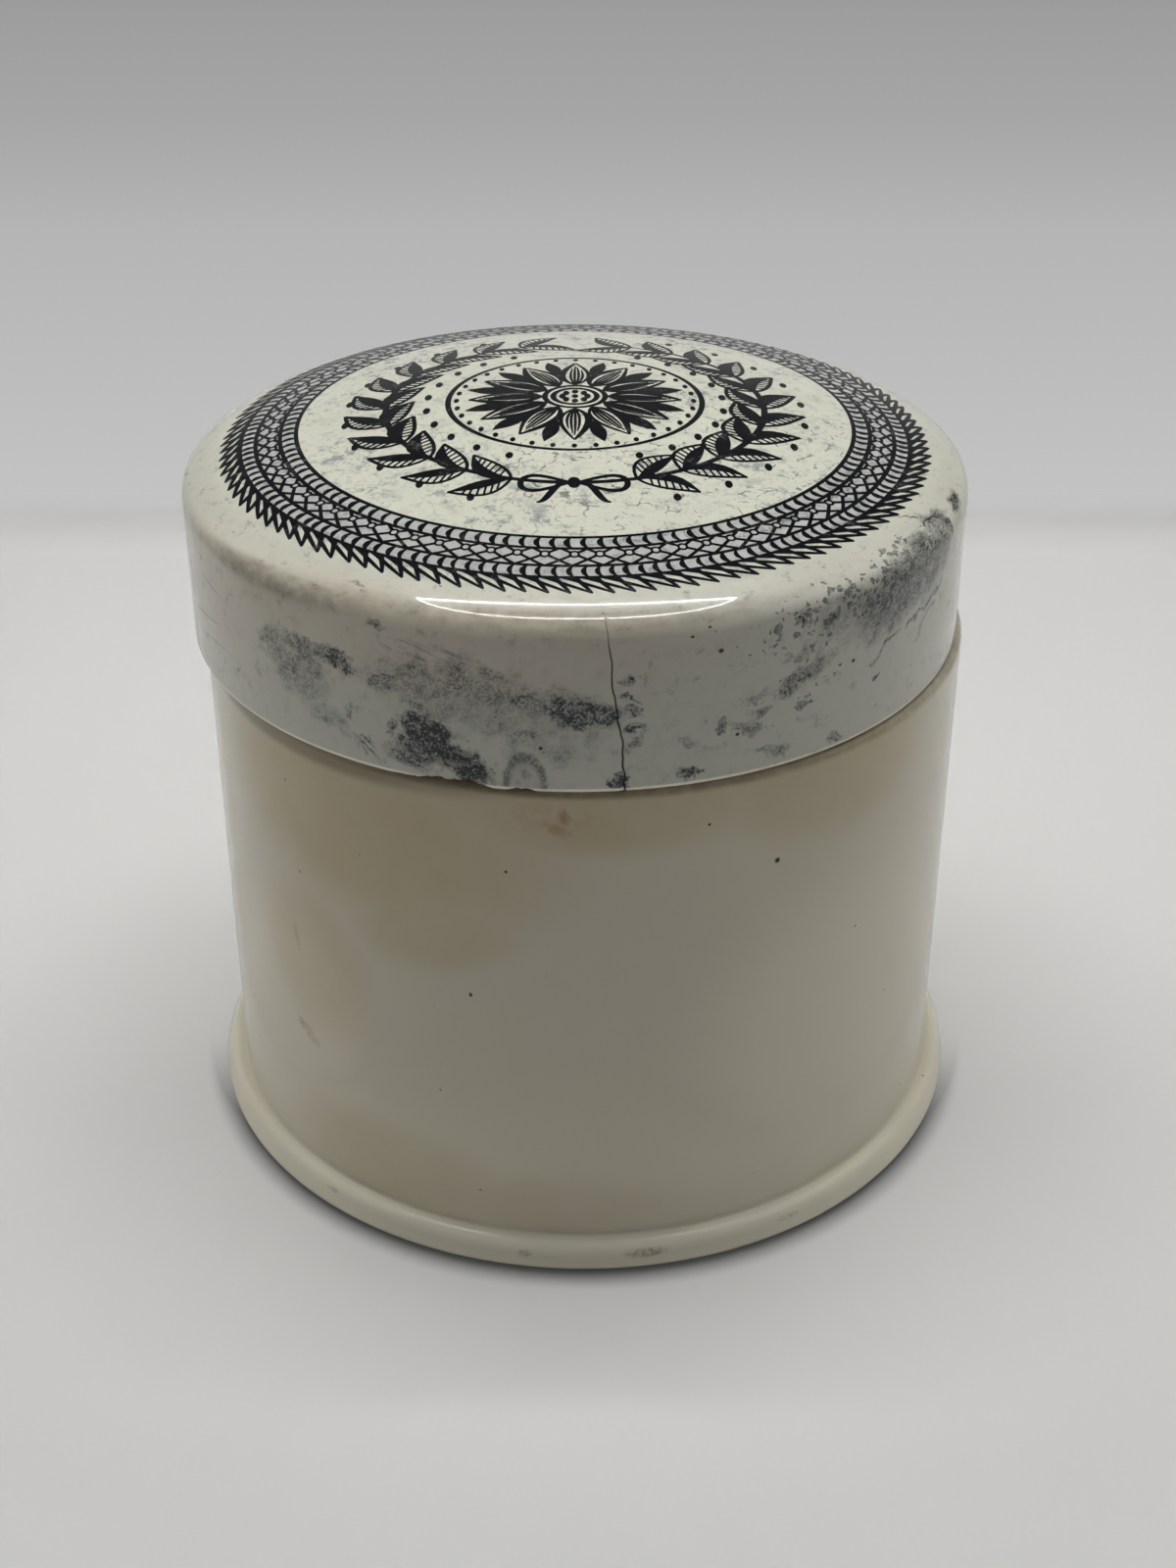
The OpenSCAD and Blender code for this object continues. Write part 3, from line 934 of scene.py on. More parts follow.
def crown_marks(finish):
    """Clouds of grey flecks and pepper over the crown, and broken craze lines, most before its middle."""
    on_crown = finish.all_of(finish.outside, finish.span(finish.away, 34.8, 32.5))
    cloud = finish.span(finish.noise(0.17, 3), 0.40, 0.62, 0.25, 1.0)
    finish.cover("mottle", on_crown, cloud, finish.span(finish.noise(0.62, 6, 0.74), 0.51, 0.63), 0.88)
    finish.cover("mottle", on_crown, cloud, finish.span(finish.noise(2.1, 4, 0.72), 0.54, 0.66), 0.72)
    edge = finish.cells(0.42, "DISTANCE_TO_EDGE", finish.warped(finish.mm, 0.6, 2.6)).outputs["Distance"]
    broken = finish.span(finish.noise(0.8, 2), 0.50, 0.56)
    middle = finish.mapped(finish.mm, (7, -13, 73), scale=(26, 20, 30), kind="TEXTURE")
    close = finish.span(finish.fading(middle), 0.0, 0.6, 0.25, 1.0)
    finish.cover("craze", finish.span(edge, 0.046, 0.014), broken, on_crown, close, 0.80)


def left_smudges(finish):
    """Smudges at the left of the skirt: soft ovals, and streaks in two directions."""
    dab = finish.dab
    steep = finish.span(finish.brushed(-42, 2.6, 0.28), 0.38, 0.62)
    level = finish.span(finish.brushed(-16, 3.0, 0.30), 0.40, 0.60)
    return finish.most_of(
        finish.math("MULTIPLY", dab(-40.5, 60.8, 4.6, 3.6, -30, 0.50), steep),
        finish.math("MULTIPLY", dab(-28.0, 55.8, 2.6, 0.8, -52, 0.80), steep),
        finish.math("MULTIPLY", dab(-16.5, 65.3, 8.2, 1.7, -11, 0.46), level),
        finish.math("MULTIPLY", dab(-32.8, 57.0, 3.2, 0.9, -14, 0.40), level),
        dab(-44.6, 63.2, 2.6, 2.0, 0, 0.50),
        dab(-38.2, 63.9, 5.4, 1.3, -6, 0.58),
        dab(-32.8, 63.6, 2.6, 1.5, -20, 0.85),
        dab(-40.5, 61.8, 6.0, 3.6, -14, 0.50),
        dab(-35.8, 61.6, 0.9, 0.9, 0, 0.62),
        dab(-30.6, 58.6, 0.7, 0.7, 0, 0.48),
        dab(-24.8, 62.6, 2.4, 1.4, 4, 0.62),
        dab(-40.5, 61.0, 6.5, 4.2, -30, 0.30),
        dab(-34.0, 57.4, 5.0, 1.6, -16, 0.34),
        dab(-24.6, 58.4, 1.0, 1.0, 0, 0.72),
        dab(-26.4, 67.9, 1.4, 0.7, -6, 0.62),
        dab(-30.5, 72.0, 1.8, 0.5, 0, 0.50),
        dab(-120, 58, 12, 3, -10, 0.7))


def middle_smudges(finish):
    """Smudges in the middle of the skirt, from the dark patch low at the left up to the crack."""
    dab = finish.dab
    return finish.most_of(
        dab(-17.0, 63.3, 8.0, 2.8, -2, 0.50),
        dab(-14.0, 62.4, 14.0, 4.8, -6, 0.36),
        dab(-21.4, 60.9, 1.9, 0.9, -8, 0.58),
        dab(-10.4, 64.6, 1.9, 1.0, 0, 0.56),
        dab(-5.5, 62.3, 7.6, 2.7, 0, 0.44),
        dab(-3.0, 62.1, 6.8, 1.7, -3, 0.62),
        dab(0.8, 61.3, 4.8, 1.8, -8, 0.95),
        dab(-6.4, 59.0, 1.6, 1.0, 0, 0.48),
        dab(-2.5, 58.6, 6.5, 3.6, 0, 0.24),
        dab(-19.0, 58.0, 3.5, 2.5, -18, 1.15),
        dab(-15.2, 55.9, 4.4, 2.0, -26, 1.00),
        dab(-21.6, 56.0, 3.2, 2.3, 0, 0.85))


def right_smudges(finish):
    """Smudges along the right of the crack, and scattered ones from there to the right."""
    dab = finish.dab
    return finish.most_of(
        dab(7.1, 64.6, 1.1, 0.75, 0, 0.66),
        dab(7.2, 62.8, 1.1, 0.60, 0, 0.84),
        dab(7.4, 61.5, 1.1, 0.60, 0, 0.76),
        dab(7.5, 59.9, 1.3, 0.75, 0, 0.80),
        dab(7.6, 58.7, 1.0, 0.50, 0, 0.60),
        dab(5.9, 54.5, 1.3, 1.2, 0, 1.20),
        dab(15.4, 54.9, 2.1, 0.8, -12, 1.0),
        dab(14.9, 58.0, 1.1, 0.9, 0, 0.46),
        dab(19.7, 59.1, 0.9, 0.75, 0, 0.66),
        dab(22.8, 58.3, 2.2, 0.7, -14, 0.52),
        dab(27.2, 55.4, 2.4, 0.9, -8, 0.52),
        dab(29.8, 61.6, 2.4, 1.2, 32, 0.68),
        dab(25.5, 59.8, 1.3, 0.8, 20, 0.58),
        dab(24.4, 61.2, 0.8, 0.8, 0, 0.40),
        dab(32.8, 62.7, 3.4, 1.4, 10, 0.50),
        dab(30.9, 64.4, 1.9, 0.8, 10, 0.50),
        dab(31.8, 59.0, 0.9, 0.6, 20, 0.66),
        dab(30.2, 67.3, 0.8, 0.75, 0, 0.95),
        dab(35.9, 67.2, 0.9, 0.7, 0, 0.85),
        dab(45.6, 59.5, 0.5, 0.4, 0, 0.75),
        dab(37.6, 54.6, 1.4, 0.8, 12, 0.56),
        dab(145, 61, 16, 4, 6, 0.7))


def skirt_ink(finish):
    """A thin haze of ink all over the skirt, and its smudges."""
    haze = finish.span(finish.noise(0.9, 5, 0.75), 0.46, 0.62)
    finish.cover("smudge", haze, finish.span(finish.torn, 0.38, 0.60, 0.3, 1.0), finish.low, 0.10)
    finish.ink("smudge", finish.most_of(left_smudges(finish), middle_smudges(finish), right_smudges(finish)))


def dark_patch(finish):
    """The thickest ink, low at the left of the skirt, with flakes of glaze that show through it."""
    thick = finish.most_of(finish.dab(-19.2, 58.4, 3.4, 2.1, -18, 1.12),
                           finish.dab(-14.8, 55.8, 4.0, 1.6, -26, 1.1))
    thick = finish.inked(thick, finish.torn, finish.grain)
    finish.cover("dark_smudge", thick, finish.span(finish.grain, 0.0, 0.7, 0.5, 1.0), finish.outside)
    flake = finish.cells(0.85, "F1", finish.warped(finish.flat, 1.4, 0.9)).outputs["Distance"]
    among = finish.dab(-17.6, 57.0, 4.8, 2.8, -22, 0.85)
    finish.cover("flake", finish.span(flake, 0.34, 0.20), among, finish.outside)


def arch_mark(finish):
    """A faint printed arch beside the dark patch: the rim of an oval, dark at its edge and pale inside."""
    oval = finish.dab(-6.3, 54.2, 2.3, 3.9)
    edge = finish.span(oval, 0.02, 0.30)
    hollow = finish.span(oval, 0.98, 0.55, 0.2, 1.0)
    finish.cover("smudge", edge, hollow, finish.span(finish.grain, 0.0, 0.6, 0.5, 1.0), finish.outside, 0.72)


def shoulder_wash(finish):
    """Ink washed over the right of the shoulder in sweeping strokes, with thin tails below it."""
    dab = finish.dab
    swept = finish.span(finish.brushed(40, 1.1, 0.55, 6.0, 3.5), 0.32, 0.64)
    finish.ink("smudge", finish.most_of(
        dab(49, 66.4, 9.0, 4.6, 8, 0.70),
        dab(57, 67.2, 4.8, 5.0, 30, 0.72),
        dab(62, 68.6, 2.8, 5.0, 0, 0.62),
        dab(41, 66.6, 8.0, 4.2, 6, 0.36),
        dab(64, 70.4, 3.4, 1.7, 20, 0.70),
        dab(60.0, 63.6, 3.6, 0.40, 26, 0.75),
        dab(54.0, 62.5, 3.0, 0.35, 12, 0.70),
        dab(46.6, 61.7, 3.2, 0.35, 16, 0.60),
        dab(62.3, 66.0, 0.35, 3.4, -4, 0.65),
        dab(49.0, 63.6, 3.4, 0.45, 24, 0.55),
        dab(57.0, 61.6, 3.4, 0.30, 30, 0.45)), swept)


def shoulder_drops(finish):
    """Fine drops of ink round the wash, each in a cell of its own and as large as its chance times how
    near it is, and a few nearly black splashes."""
    dab = finish.dab
    cell = finish.cells(1.55, "F1", finish.warped(finish.warped(finish.flat, 1.3, 1.2), 4.5, 0.45))
    near = finish.most_of(
        dab(37, 67.6, 13, 4.8, 8, 1.0),
        dab(50, 69.5, 8, 4.0, 10, 1.05),
        dab(33, 62.5, 6, 5.0, 30, 0.55),
        dab(24, 59.5, 7, 4.0, 10, 0.35))
    reach = finish.all_of(near, finish.span(finish.chance(cell), 0.05, 0.95, 0.0, 0.66))
    drop = finish.span(finish.math("SUBTRACT", cell.outputs["Distance"], reach), 0.02, -0.10)
    finish.cover("smudge", drop, finish.span(finish.grain, 0.0, 1.0, 0.55, 1.0), finish.outside, 0.86)
    finish.ink("splash", finish.most_of(
        dab(72.0, 70.2, 2.6, 1.8, 30, 0.9),
        dab(65.6, 68.9, 0.9, 2.0, 10, 0.95),
        dab(61.5, 71.3, 2.8, 0.28, -10, 0.9),
        dab(59.5, 73.4, 2.8, 0.22, -40, 0.8),
        dab(56.5, 70.6, 3.4, 1.3, 0, 0.45)))


def small_marks(finish):
    """Fine specks, six black spots, three hairlines at the left, and the rim worn pale, with a painted
    highlight on it.
    """
    dab = finish.dab
    finish.cover("lid_speck", finish.specks(0.42, 0.075, 0.035, 0.55, 0.7), 0.62)
    spot = finish.most_of(
        dab(19.1, 66.3, 0.34, 0.30),
        dab(40.2, 61.8, 0.32, 0.26),
        dab(-4.2, 58.0, 0.26, 0.24),
        dab(21.8, 57.9, 0.26, 0.24),
        dab(15.2, 68.0, 0.24, 0.2),
        dab(17.6, 68.8, 0.22, 0.2))
    finish.cover("lid_spot", spot, finish.outside)
    hairline = finish.most_of(
        dab(-61, 64.0, 3.4, 0.10, -8),
        dab(-65, 60.0, 6.4, 0.10, 8),
        dab(-62, 58.2, 5.0, 0.08, 6))
    finish.cover("hairline", hairline, finish.outside, 0.55)
    # The rim worn pale, partly a painted highlight where its lower edge catches the light.
    at_rim = finish.span(finish.height, 54.1, 53.9)
    finish.cover("worn_rim_and_highlight", at_rim, finish.span(finish.soft, 0.3, 0.6, 0.7, 1.0), finish.outside)


def white_glaze():
    """The lid's glaze: white with a hint of green, greyed where it is printed, smudged with ink outside,
    crazed, cracked through the skirt and chipped along the rim."""
    finish = LidFinish()
    lid_ground(finish)
    crown_marks(finish)
    finish.place = finish.warped(finish.warped(finish.flat, 0.42, 2.6), 1.5, 1.3)
    skirt_ink(finish)
    dark_patch(finish)
    finish.place = finish.warped(finish.flat, 1.6, 0.5)
    arch_mark(finish)
    finish.place = finish.warped(finish.warped(finish.flat, 0.30, 3.0), 1.2, 1.0)
    shoulder_wash(finish)
    shoulder_drops(finish)
    finish.place = finish.flat
    small_marks(finish)

    chip = finish.mask("chip")
    clay = finish.mix(finish.span(finish.torn, 0.40, 0.60), shade("clay"), shade("dirt_and_shade"))
    finish.base = finish.mix(chip, finish.base, clay)
    finish.cover("crack", finish.mask("crack"))
    ripple = finish.math("ADD", finish.noise(0.30, 2), finish.math("MULTIPLY", finish.noise(1.7, 3), 0.10))
    ripple = finish.math("MULTIPLY", ripple, finish.span(finish.height, 68.5, 70.5))
    rough = finish.span(finish.noise(0.05, 1), 0.3, 0.7, 0.23, 0.27)
    rough = finish.math("MAXIMUM", rough, finish.math("MULTIPLY", chip, 0.8))
    return finish.glaze(rough, ripple, 0.05 * MM)


def print_ink():
    """Blue-black printing ink under the glaze, worn thin here and there."""
    finish = Finish("print_ink")
    finish.base = shade("ink")
    finish.cover("worn_ink", finish.span(finish.noise(0.35, 5, 0.7), 0.52, 0.74),
                 finish.span(finish.noise(3.0, 3, 0.6), 0.42, 0.62), 0.3)
    return finish.glaze(0.25, coat=0.3)


# Operators

class POT_OT_stage(bpy.types.Operator):
    """Sets up the pale floor and backdrop, the light tent with its two lamps, and the camera"""
    bl_idname = "coldcream.stage"
    bl_label = "Studio"

    REACH = 1500.0

    def execute(self, context):
        """Places the camera and makes the surroundings, none of which is part of the object."""
        scene = context.scene
        studio = Millimetres(scene.studio_sizes)
        scene.view_settings.view_transform = "Standard"
        camera = bpy.data.objects.new("camera", bpy.data.cameras.new("camera"))
        scene.collection.objects.link(camera)
        camera.location = (studio.camera_x * MM, -studio.camera_back * MM, studio.camera_height * MM)
        camera.rotation_euler = (np.pi / 2 - scene.studio_sizes.camera_pitch, 0, 0)
        camera.data.lens = scene.studio_sizes.camera_lens
        camera.data.sensor_width = 36
        camera.data.clip_start = 1 * MM
        camera.data.clip_end = 20
        scene.camera = camera
        self.sweep(studio)
        self.tent(studio)
        self.lamps(studio)
        self.surroundings(scene)
        return {"FINISHED"}

    def sweep(self, studio):
        """Floor and backdrop: a long flat line, a quarter circle and an upright line, carried sideways, and
        more floor behind the backdrop."""
        bend = 5.0
        back = studio.wall_back
        path = outline([line(-self.REACH, 0, -400, 0, 300), arc(back - bend, bend, bend, 270, 360, 1.5),
                        line(back, 60, back, 700, 60)], 60)
        across = np.linspace(-self.REACH, self.REACH, 31)
        grid = np.stack([across[None, :] + 0 * path[:, :1], path[:, :1] + 0 * across[None, :],
                         path[:, 1:] + 0 * across[None, :]], axis=-1)
        rows, columns = grid.shape[:2]
        index = np.arange(rows * columns).reshape(rows, columns)
        quads = np.stack([index[:-1, :-1], index[:-1, 1:], index[1:, 1:], index[1:, :-1]], axis=-1)
        sweep = mesh_object("backdrop", grid.reshape(-1, 3), [quads.reshape(-1, 4)])
        sweep.data.materials.append(self.paper())
        corners = [[-self.REACH, back, -0.2], [self.REACH, back, -0.2],
                   [self.REACH, self.REACH, -0.2], [-self.REACH, self.REACH, -0.2]]
        beyond = mesh_object("floor_beyond", np.array(corners), [np.array([[0, 1, 2, 3]])])
        beyond.data.materials.append(sweep.data.materials[0])

    def paper(self):
        """Matt grey-white paper. Its upright part shows painted shade, greyer upwards as the tent's light
        falls off, and from behind it is clear, so that it doesn't hide the pot."""
        finish = Finish("paper")
        finish.unroll(1.0, 0)
        path = finish.add("ShaderNodeLightPath").outputs
        seen = finish.most_of(path["Is Camera Ray"], path["Is Glossy Ray"], path["Is Transmission Ray"])
        lit = finish.matt(settings("studio_sizes").floor)
        floor = finish.blend(seen, lit, self.floor_look(finish))
        upright = finish.all_of(finish.span(finish.height, 1.0, 9.0), seen)
        front = finish.blend(upright, floor, self.wall_look(finish, path["Is Camera Ray"]))
        unseen = finish.all_of(finish.add("ShaderNodeNewGeometry").outputs["Backfacing"],
                               finish.math("GREATER_THAN", finish.height, 0.1))
        return finish.surface(finish.blend(unseen, front, finish.add("ShaderNodeBsdfTransparent")))

    def floor_look(self, finish):
        """The floor as it shows: its tone under the light, with a painted shadow under the foot's front,
        painted light that makes it paler close before the foot and a little paler well before it, and even
        outside the tent."""
        colours = settings("studio_sizes")
        sizes = Millimetres(colours)
        foot = Millimetres(settings("pot_sizes")).foot_radius
        before = finish.math("DIVIDE", finish.math("MULTIPLY", finish.back, -1.0), finish.away)
        # Painted shadow: the floor is darkened under the foot's front.
        clear = finish.span(finish.away, foot - 0.8, sizes.painted_contact_radius, 0.2, 1.0)
        clear = finish.math("MAXIMUM", clear, finish.span(before, 0.65, 0.0))
        # Painted light: the floor is made paler close before the foot and well before it.
        near = finish.all_of(finish.span(finish.away, 80.0, 44.0), finish.span(before, 0.2, 0.9))
        look = finish.mix(near, tuple(colours.floor_look), tuple(colours.floor_near_painted_light))
        look = finish.mix(finish.span(finish.back, -60.0, -110.0), look, tuple(colours.floor_far_painted_light))
        tone = finish.matt(finish.mix(clear, (0.0, 0.0, 0.0), look))
        inside = finish.both(tone, finish.glow(colours.floor_shade, clear))
        outer = finish.most_of(
            finish.span(finish.math("ABSOLUTE", finish.side), sizes.tent_half - 15.0, sizes.tent_half),
            finish.span(finish.back, sizes.wall_back, sizes.wall_back + 1.0),
            finish.span(finish.away, 180.0, 320.0))
        return finish.blend(outer, inside, finish.glow(colours.floor_aside))

    def wall_look(self, finish, to_camera):
        """The backdrop as it shows: greys that darken from the floor up, painted shade for the falloff of
        the tent's light, never below a mid grey to the camera. What the glaze reflects goes on down to
        nearly black."""
        # Painted shade: the ramp darkens the backdrop upwards as the tent's light falls off.
        ramp = finish.add("ShaderNodeValToRGB", {0: finish.math("DIVIDE", finish.height, 250.0)})
        stops = ramp.color_ramp.elements
        stops[0].color = (0.56, 0.56, 0.56, 1)
        stops[1].color = (0.05, 0.05, 0.05, 1)
        for share, tone in ((0.208, 0.46), (0.276, 0.381), (0.34, 0.337),
                            (0.40, 0.22), (0.50, 0.10), (0.66, 0.06)):
            stops.new(share).color = (tone, tone, tone, 1)
        least = finish.math("MULTIPLY", to_camera, 0.33)
        return finish.glow(finish.math("MAXIMUM", ramp.outputs[0], least))

    def unseen_light(self, piece, finish, shader):
        """Gives a piece its material, and keeps it out of the picture."""
        piece.data.materials.append(finish.surface(shader))
        piece.visible_camera = False

    def tent(self, studio):
        """The tent's white side walls and glowing ceiling, which light the pot and don't show in the
        picture. The ceiling is dimmer at its front."""
        side = studio.tent_half
        back = studio.wall_back
        top = studio.lamp_height + 8
        wall_front, roof_middle, roof_front = -130.0, -40.0, -330.0
        glow = settings("studio_sizes").ceiling_glow
        walls = [[-side, wall_front, 0], [-side, back, 0], [-side, back, top], [-side, wall_front, top],
                 [side, back, 0], [side, wall_front, 0], [side, wall_front, top], [side, back, top]]
        roof_back = [[-side, back, top], [side, back, top],
                     [side, roof_middle, top], [-side, roof_middle, top]]
        roof_ahead = [[-side, roof_middle, top], [side, roof_middle, top],
                      [side, roof_front, top], [-side, roof_front, top]]
        for name, corners, strength in (("tent_walls", walls, 0.0), ("tent_roof_back", roof_back, glow),
                                        ("tent_roof_front", roof_ahead, 0.14 * glow)):
            cloth = mesh_object(name, np.array(corners), [np.arange(len(corners)).reshape(-1, 4)])
            finish = Finish(name)
            white = finish.matt(settings("studio_sizes").box)
            self.unseen_light(cloth, finish, finish.both(white, finish.glow((1.0, 1.0, 1.0), strength)))

    def lamps(self, studio):
        """Two lamps as level strips: a straight bar, and a thin bow before it from one end of the bar to
        the other, with y = back - (back + front) sqrt(1 - (x / half) ** 2.3)."""
        share = np.sin(np.linspace(-np.pi / 2, np.pi / 2, 61))
        across = share * studio.lamp_half
        deep = studio.bar_back + studio.bow_front
        bow = studio.bar_back - deep * np.sqrt(1 - np.abs(share) ** 2.3)
        paths = ((np.stack([across, studio.bar_back + 0 * across], axis=1), studio.bar_width),
                 (np.stack([across, bow], axis=1), studio.bow_width))
        light = settings("studio_sizes")
        for name, (path, width) in zip(("bar_lamp", "bow_lamp"), paths):
            along = np.gradient(path, axis=0)
            along /= np.linalg.norm(along, axis=1, keepdims=True)
            off = np.stack([-along[:, 1], along[:, 0]], axis=1) * width / 2
            level = np.full((len(path), 1), studio.lamp_height)
            points = np.concatenate([np.hstack([path - off, level]), np.hstack([path + off, level])])
            low = np.arange(len(path) - 1)
            high = low + len(path)
            strip = mesh_object(name, points, [np.stack([low, high, high + 1, low + 1], axis=1)])
            finish = Finish(name)
            self.unseen_light(strip, finish, finish.glow(light.lamp_colour, light.lamp_strength))

    def surroundings(self, scene):
        """A dim room that lights the pot a little, and shows as pale grey."""
        world = bpy.data.worlds.new("room")
        scene.world = world
        world.use_nodes = True
        tree = world.node_tree
        tree.nodes.clear()
        path = tree.nodes.new("ShaderNodeLightPath")
        dim = tree.nodes.new("ShaderNodeBackground")
        dim.inputs["Color"].default_value = (*scene.studio_sizes.room, 1)
        pale = tree.nodes.new("ShaderNodeBackground")
        pale.inputs["Color"].default_value = (*scene.studio_sizes.room_look, 1)
        mix = tree.nodes.new("ShaderNodeMixShader")
        out = tree.nodes.new("ShaderNodeOutputWorld")
        tree.links.new(path.outputs["Is Camera Ray"], mix.inputs[0])
        tree.links.new(dim.outputs[0], mix.inputs[1])
        tree.links.new(pale.outputs[0], mix.inputs[2])
        tree.links.new(mix.outputs[0], out.inputs[0])


class POT_OT_pot(bpy.types.Operator):
    """Makes the glazed pot with its foot bead, ledge and neck"""
    bl_idname = "coldcream.pot"
    bl_label = "Pot"

    OUTER_FACE = 36.5
    WALL_MIDDLE = 28
    WALL_HALF = 26

    def execute(self, context):
        """Turns the outline round the axis. The wall's outside has slight waves."""
        path = pot_outline()
        turn = np.linspace(0, 2 * np.pi, 480, endpoint=False)
        grid = revolve(path, turn, 0)
        outside = (path[:, 0] > self.OUTER_FACE)[:, None] * np.ones_like(turn)[None, :]
        upright = bump(path[:, 1], self.WALL_MIDDLE, self.WALL_HALF)[:, None]
        grid = swell(grid, outside * upright * hand_turned(turn[None, :], path[:, 1:], 0.02), 0)
        points, faces = turned(grid)
        pot = mesh_object("glazed_pot", points, faces, {"outside": on_grid(1.0 * outside)})
        pot.data.materials.append(cream_glaze())
        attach(pot, "pot")
        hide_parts("pot")
        return {"FINISHED"}


class POT_OT_lid(bpy.types.Operator):
    """Makes the glazed lid with the crack through its skirt and the chips along its rim"""
    bl_idname = "coldcream.lid"
    bl_label = "Lid"

    CRACK = np.radians(5.2)
    CRACK_TOP = 70.6
    CRACK_FOOT = 53.5
    CHIP_DEPTH = 1.5
    SKIRT_TOP = 67
    SKIRT_HALF = 7.5

    def columns(self):
        """Angles from the front: even all round, closer over the chips, and a tight bundle at the crack."""
        even = np.linspace(-np.pi, np.pi, 470, endpoint=False)
        chipped = np.radians(np.linspace(-30, 0, 100))
        half_bundle = np.array([0.05, 0.09, 0.14, 0.2, 0.28, 0.4, 0.6])
        bundle = self.CRACK + np.radians(np.concatenate([-half_bundle[::-1], [0], half_bundle]))
        spread = np.concatenate([even, chipped])
        spread = spread[np.abs(spread - self.CRACK) > np.radians(0.65)]
        angles = np.sort(np.concatenate([spread, bundle]))
        keep = np.concatenate([[True], np.diff(angles) > np.radians(0.03)])
        return angles[keep]

    def chips(self, angle):
        """Height of the broken edge over the rim: a sum of hills with a jagged top, in mm."""
        at = np.degrees(angle)
        jag = 0.85 + 0.12 * np.sin(at * 1.3 + 1) + 0.08 * np.sin(at * 3.1) + 0.05 * np.sin(at * 6.7)
        broken = (0.85 * bump(at, -16.5, 6.5) + 0.45 * bump(at, -12.5, 3.0) + 0.62 * bump(at, -6.8, 2.9)
                  + 0.30 * bump(at, -22.5, 4.0) + 0.30 * bump(at, 6.6, 0.9) + 0.16 * bump(at, 38, 1.8)
                  + 0.14 * bump(at, 28.5, 1.2) + 0.35 * bump(at, 118, 4) + 0.25 * bump(at, -150, 5))
        nibbled = 0.05 * np.clip(np.sin(at * 1.7) + np.sin(at * 3.1 + 2) + np.sin(at * 0.9) - 1.2, 0, 1)
        return broken * jag + nibbled

    def wander(self, down):
        """How far the crack strays from its middle angle, by how far down it is from 0 to 1: a slow curve
        to the right, with three finer waves."""
        slow = 3.3 * (down ** 0.75 - 0.5)
        waves = 0.16 * np.sin(down * 11) + 0.10 * np.sin(down * 29) + 0.09 * down * np.sin(down * 71 + 1)
        return np.radians(slow + waves)

    def chip_rim(self, grid, path, turn, lid):
        """Lifts the outer rim's points to the broken edge, and gives the mask of the clay laid bare."""
        radius, height = path[:, :1], path[:, 1:]
        chip_height = self.chips(turn)
        inner = lid.radius - self.CHIP_DEPTH
        cut = lid.rim_height + chip_height * np.clip((radius - inner) / self.CHIP_DEPTH, 0, 1)
        low_outside = (radius > inner) & (height < lid.rim_height + 2.3)
        lifted = np.where(low_outside, np.maximum(grid[..., 2], cut), grid[..., 2])
        chip = np.clip((lifted - grid[..., 2]) / 0.05, 0, 1)
        grid[..., 2] = lifted
        return np.where(low_outside & (chip_height > 0.06), chip, 0)

    def execute(self, context):
        """Turns the outline round the lid's axis, with columns that follow the crack down the skirt. The
        skirt has slight waves, its rim is chipped and the crack is a fine groove."""
        lid = Millimetres(context.scene.lid_sizes)
        path = lid_outline()
        radius, height = path[:, :1], path[:, 1:]
        base = self.columns()[None, :]
        outside = np.arange(len(path))[:, None] > np.argmax(path[:, 0])
        outside = outside | (radius > lid.radius - 0.6)
        down = np.clip((self.CRACK_TOP - height) / (self.CRACK_TOP - self.CRACK_FOOT), 0, 1)
        near = bump(base, self.CRACK, np.radians(14))
        turn = base + np.where(outside, self.wander(down) * near, 0)
        grid = revolve(path, turn - np.pi / 2, lid.centre)

        wave = np.where(outside & (radius > lid.radius - 0.2), hand_turned(turn, height, 0.03), 0)
        upright = bump(height, (lid.rim_height + self.SKIRT_TOP) / 2, self.SKIRT_HALF)
        grid = swell(grid, wave * upright, lid.centre)
        chip = self.chip_rim(grid, path, turn, lid)

        off = np.abs(base - self.CRACK)
        along = np.where(outside, np.clip((down - 0.01) / 0.2, 0, 1), 0) * (height < self.CRACK_TOP)
        crack = along * np.clip(1 - off / np.radians(0.09 + 0.10 * down), 0, 1)
        grid = swell(grid, -0.12 * along * bump(base, self.CRACK, np.radians(0.2)), lid.centre)

        points, faces = turned(grid)
        masks = {"chip": on_grid(chip), "crack": on_grid(np.clip(crack * 1.6, 0, 1)),
                 "outside": on_grid(outside + 0.0 * turn)}
        piece = mesh_object("glazed_lid", points, faces, masks)
        piece.data.materials.append(white_glaze())
        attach(piece, "lid")
        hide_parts("lid")
        return {"FINISHED"}


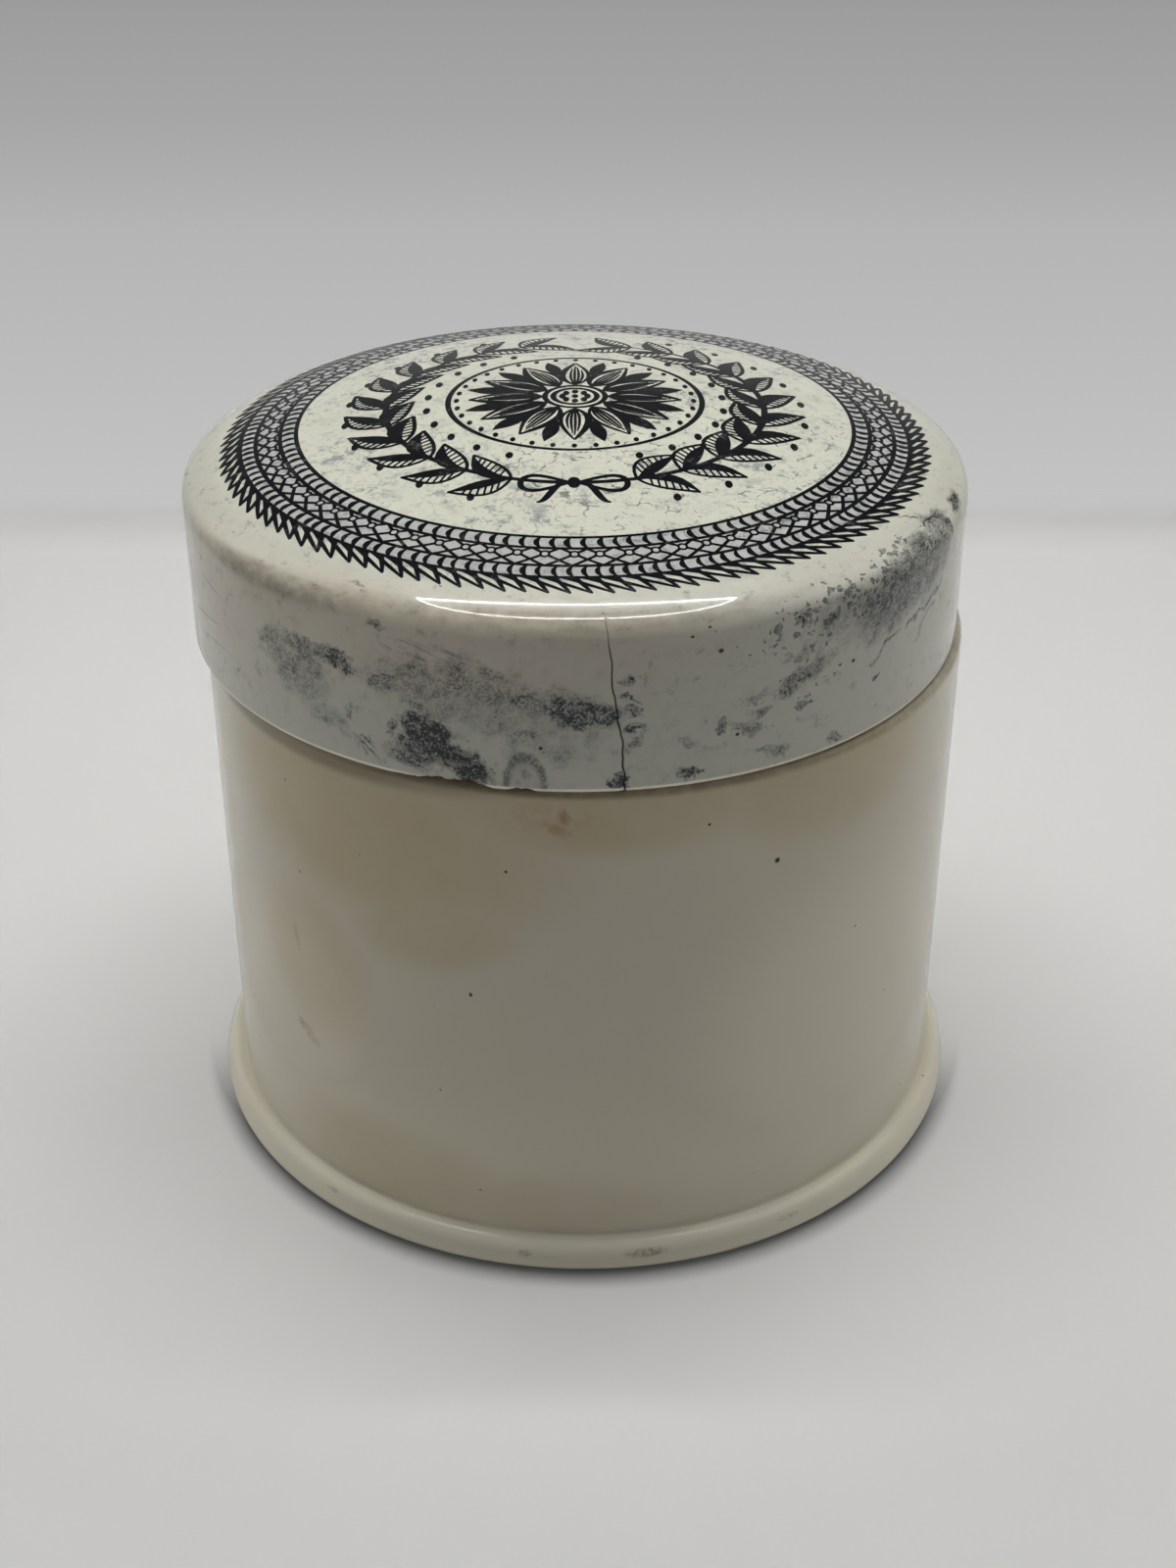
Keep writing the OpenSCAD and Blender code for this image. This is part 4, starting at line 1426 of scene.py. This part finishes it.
class POT_OT_border(bpy.types.Operator):
    """Prints the border: two rows of rope with a net between them, and a fringe of pointed blades"""
    bl_idname = "coldcream.border"
    bl_label = "Printed border"

    def execute(self, context):
        """Draws the four circles and the pattern's parts between and outside them."""
        counts = context.scene.print_sizes
        sizes = Millimetres(counts)
        rings = [sizes.inner_ring, sizes.net_ring, sizes.rope_ring, sizes.outer_ring]
        points, faces = join_strokes([
            circles(rings, sizes.line_width),
            rope(sizes.inner_ring, sizes.net_ring, counts.inner_arcs, 3),
            net(sizes.net_ring, sizes.rope_ring, counts.net_cells),
            rope(sizes.rope_ring, sizes.outer_ring, counts.outer_arcs, 5),
            fringe(sizes.outer_ring, sizes.tip_ring, counts.blades)])
        border = mesh_object("printed_border", points, faces, smooth=False)
        border.data.materials.append(print_ink())
        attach(border, "lid")
        return {"FINISHED"}


class POT_OT_ornament(bpy.types.Operator):
    """Prints a rosette inside a tied laurel wreath in the middle of the lid"""
    bl_idname = "coldcream.ornament"
    bl_label = "Printed ornament"

    def execute(self, context):
        """Draws the rosette, the wreath and its bow."""
        sizes = context.scene.print_sizes
        radius = sizes.wreath_radius / MM
        parts = [rosette(sizes.petals), wreath(radius, sizes.leaf_pairs), ribbon(radius)]
        points, faces = join_strokes(parts)
        ornament = mesh_object("printed_ornament", points, faces, smooth=False)
        ornament.data.materials.append(bpy.data.materials["print_ink"])
        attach(ornament, "lid")
        return {"FINISHED"}


class POT_PT_panel(bpy.types.Panel):
    """Lists the pot's pieces and their sizes"""
    bl_label = "Cold Cream Pot"
    bl_idname = "POT_PT_panel"
    bl_space_type = "VIEW_3D"
    bl_region_type = "UI"
    bl_category = "Cold Cream Pot"

    def draw(self, context):
        """A button for each operator and a box for each group of sizes."""
        for operator in OPERATORS:
            self.layout.operator(operator.bl_idname)
        for name, group in GROUPS.items():
            box = self.layout.box()
            box.label(text=group.__doc__)
            for key in group.__annotations__:
                box.prop(getattr(context.scene, name), key)


OPERATORS = (POT_OT_stage, POT_OT_pot, POT_OT_lid, POT_OT_border, POT_OT_ornament)


def register():
    """Makes the property groups, the operators and the panel known."""
    for name, group in GROUPS.items():
        bpy.utils.register_class(group)
        setattr(bpy.types.Scene, name, PointerProperty(type=group))
    for cls in (*OPERATORS, POT_PT_panel):
        bpy.utils.register_class(cls)


def unregister():
    """Takes the panel, the operators and the property groups out again."""
    for cls in reversed((*OPERATORS, POT_PT_panel)):
        bpy.utils.unregister_class(cls)
    for name, group in GROUPS.items():
        delattr(bpy.types.Scene, name)
        bpy.utils.unregister_class(group)


def main():
    """Builds every piece in order."""
    register()
    bpy.ops.coldcream.stage()
    bpy.ops.coldcream.pot()
    bpy.ops.coldcream.lid()
    bpy.ops.coldcream.border()
    bpy.ops.coldcream.ornament()


if __name__ == "__main__":
    main()
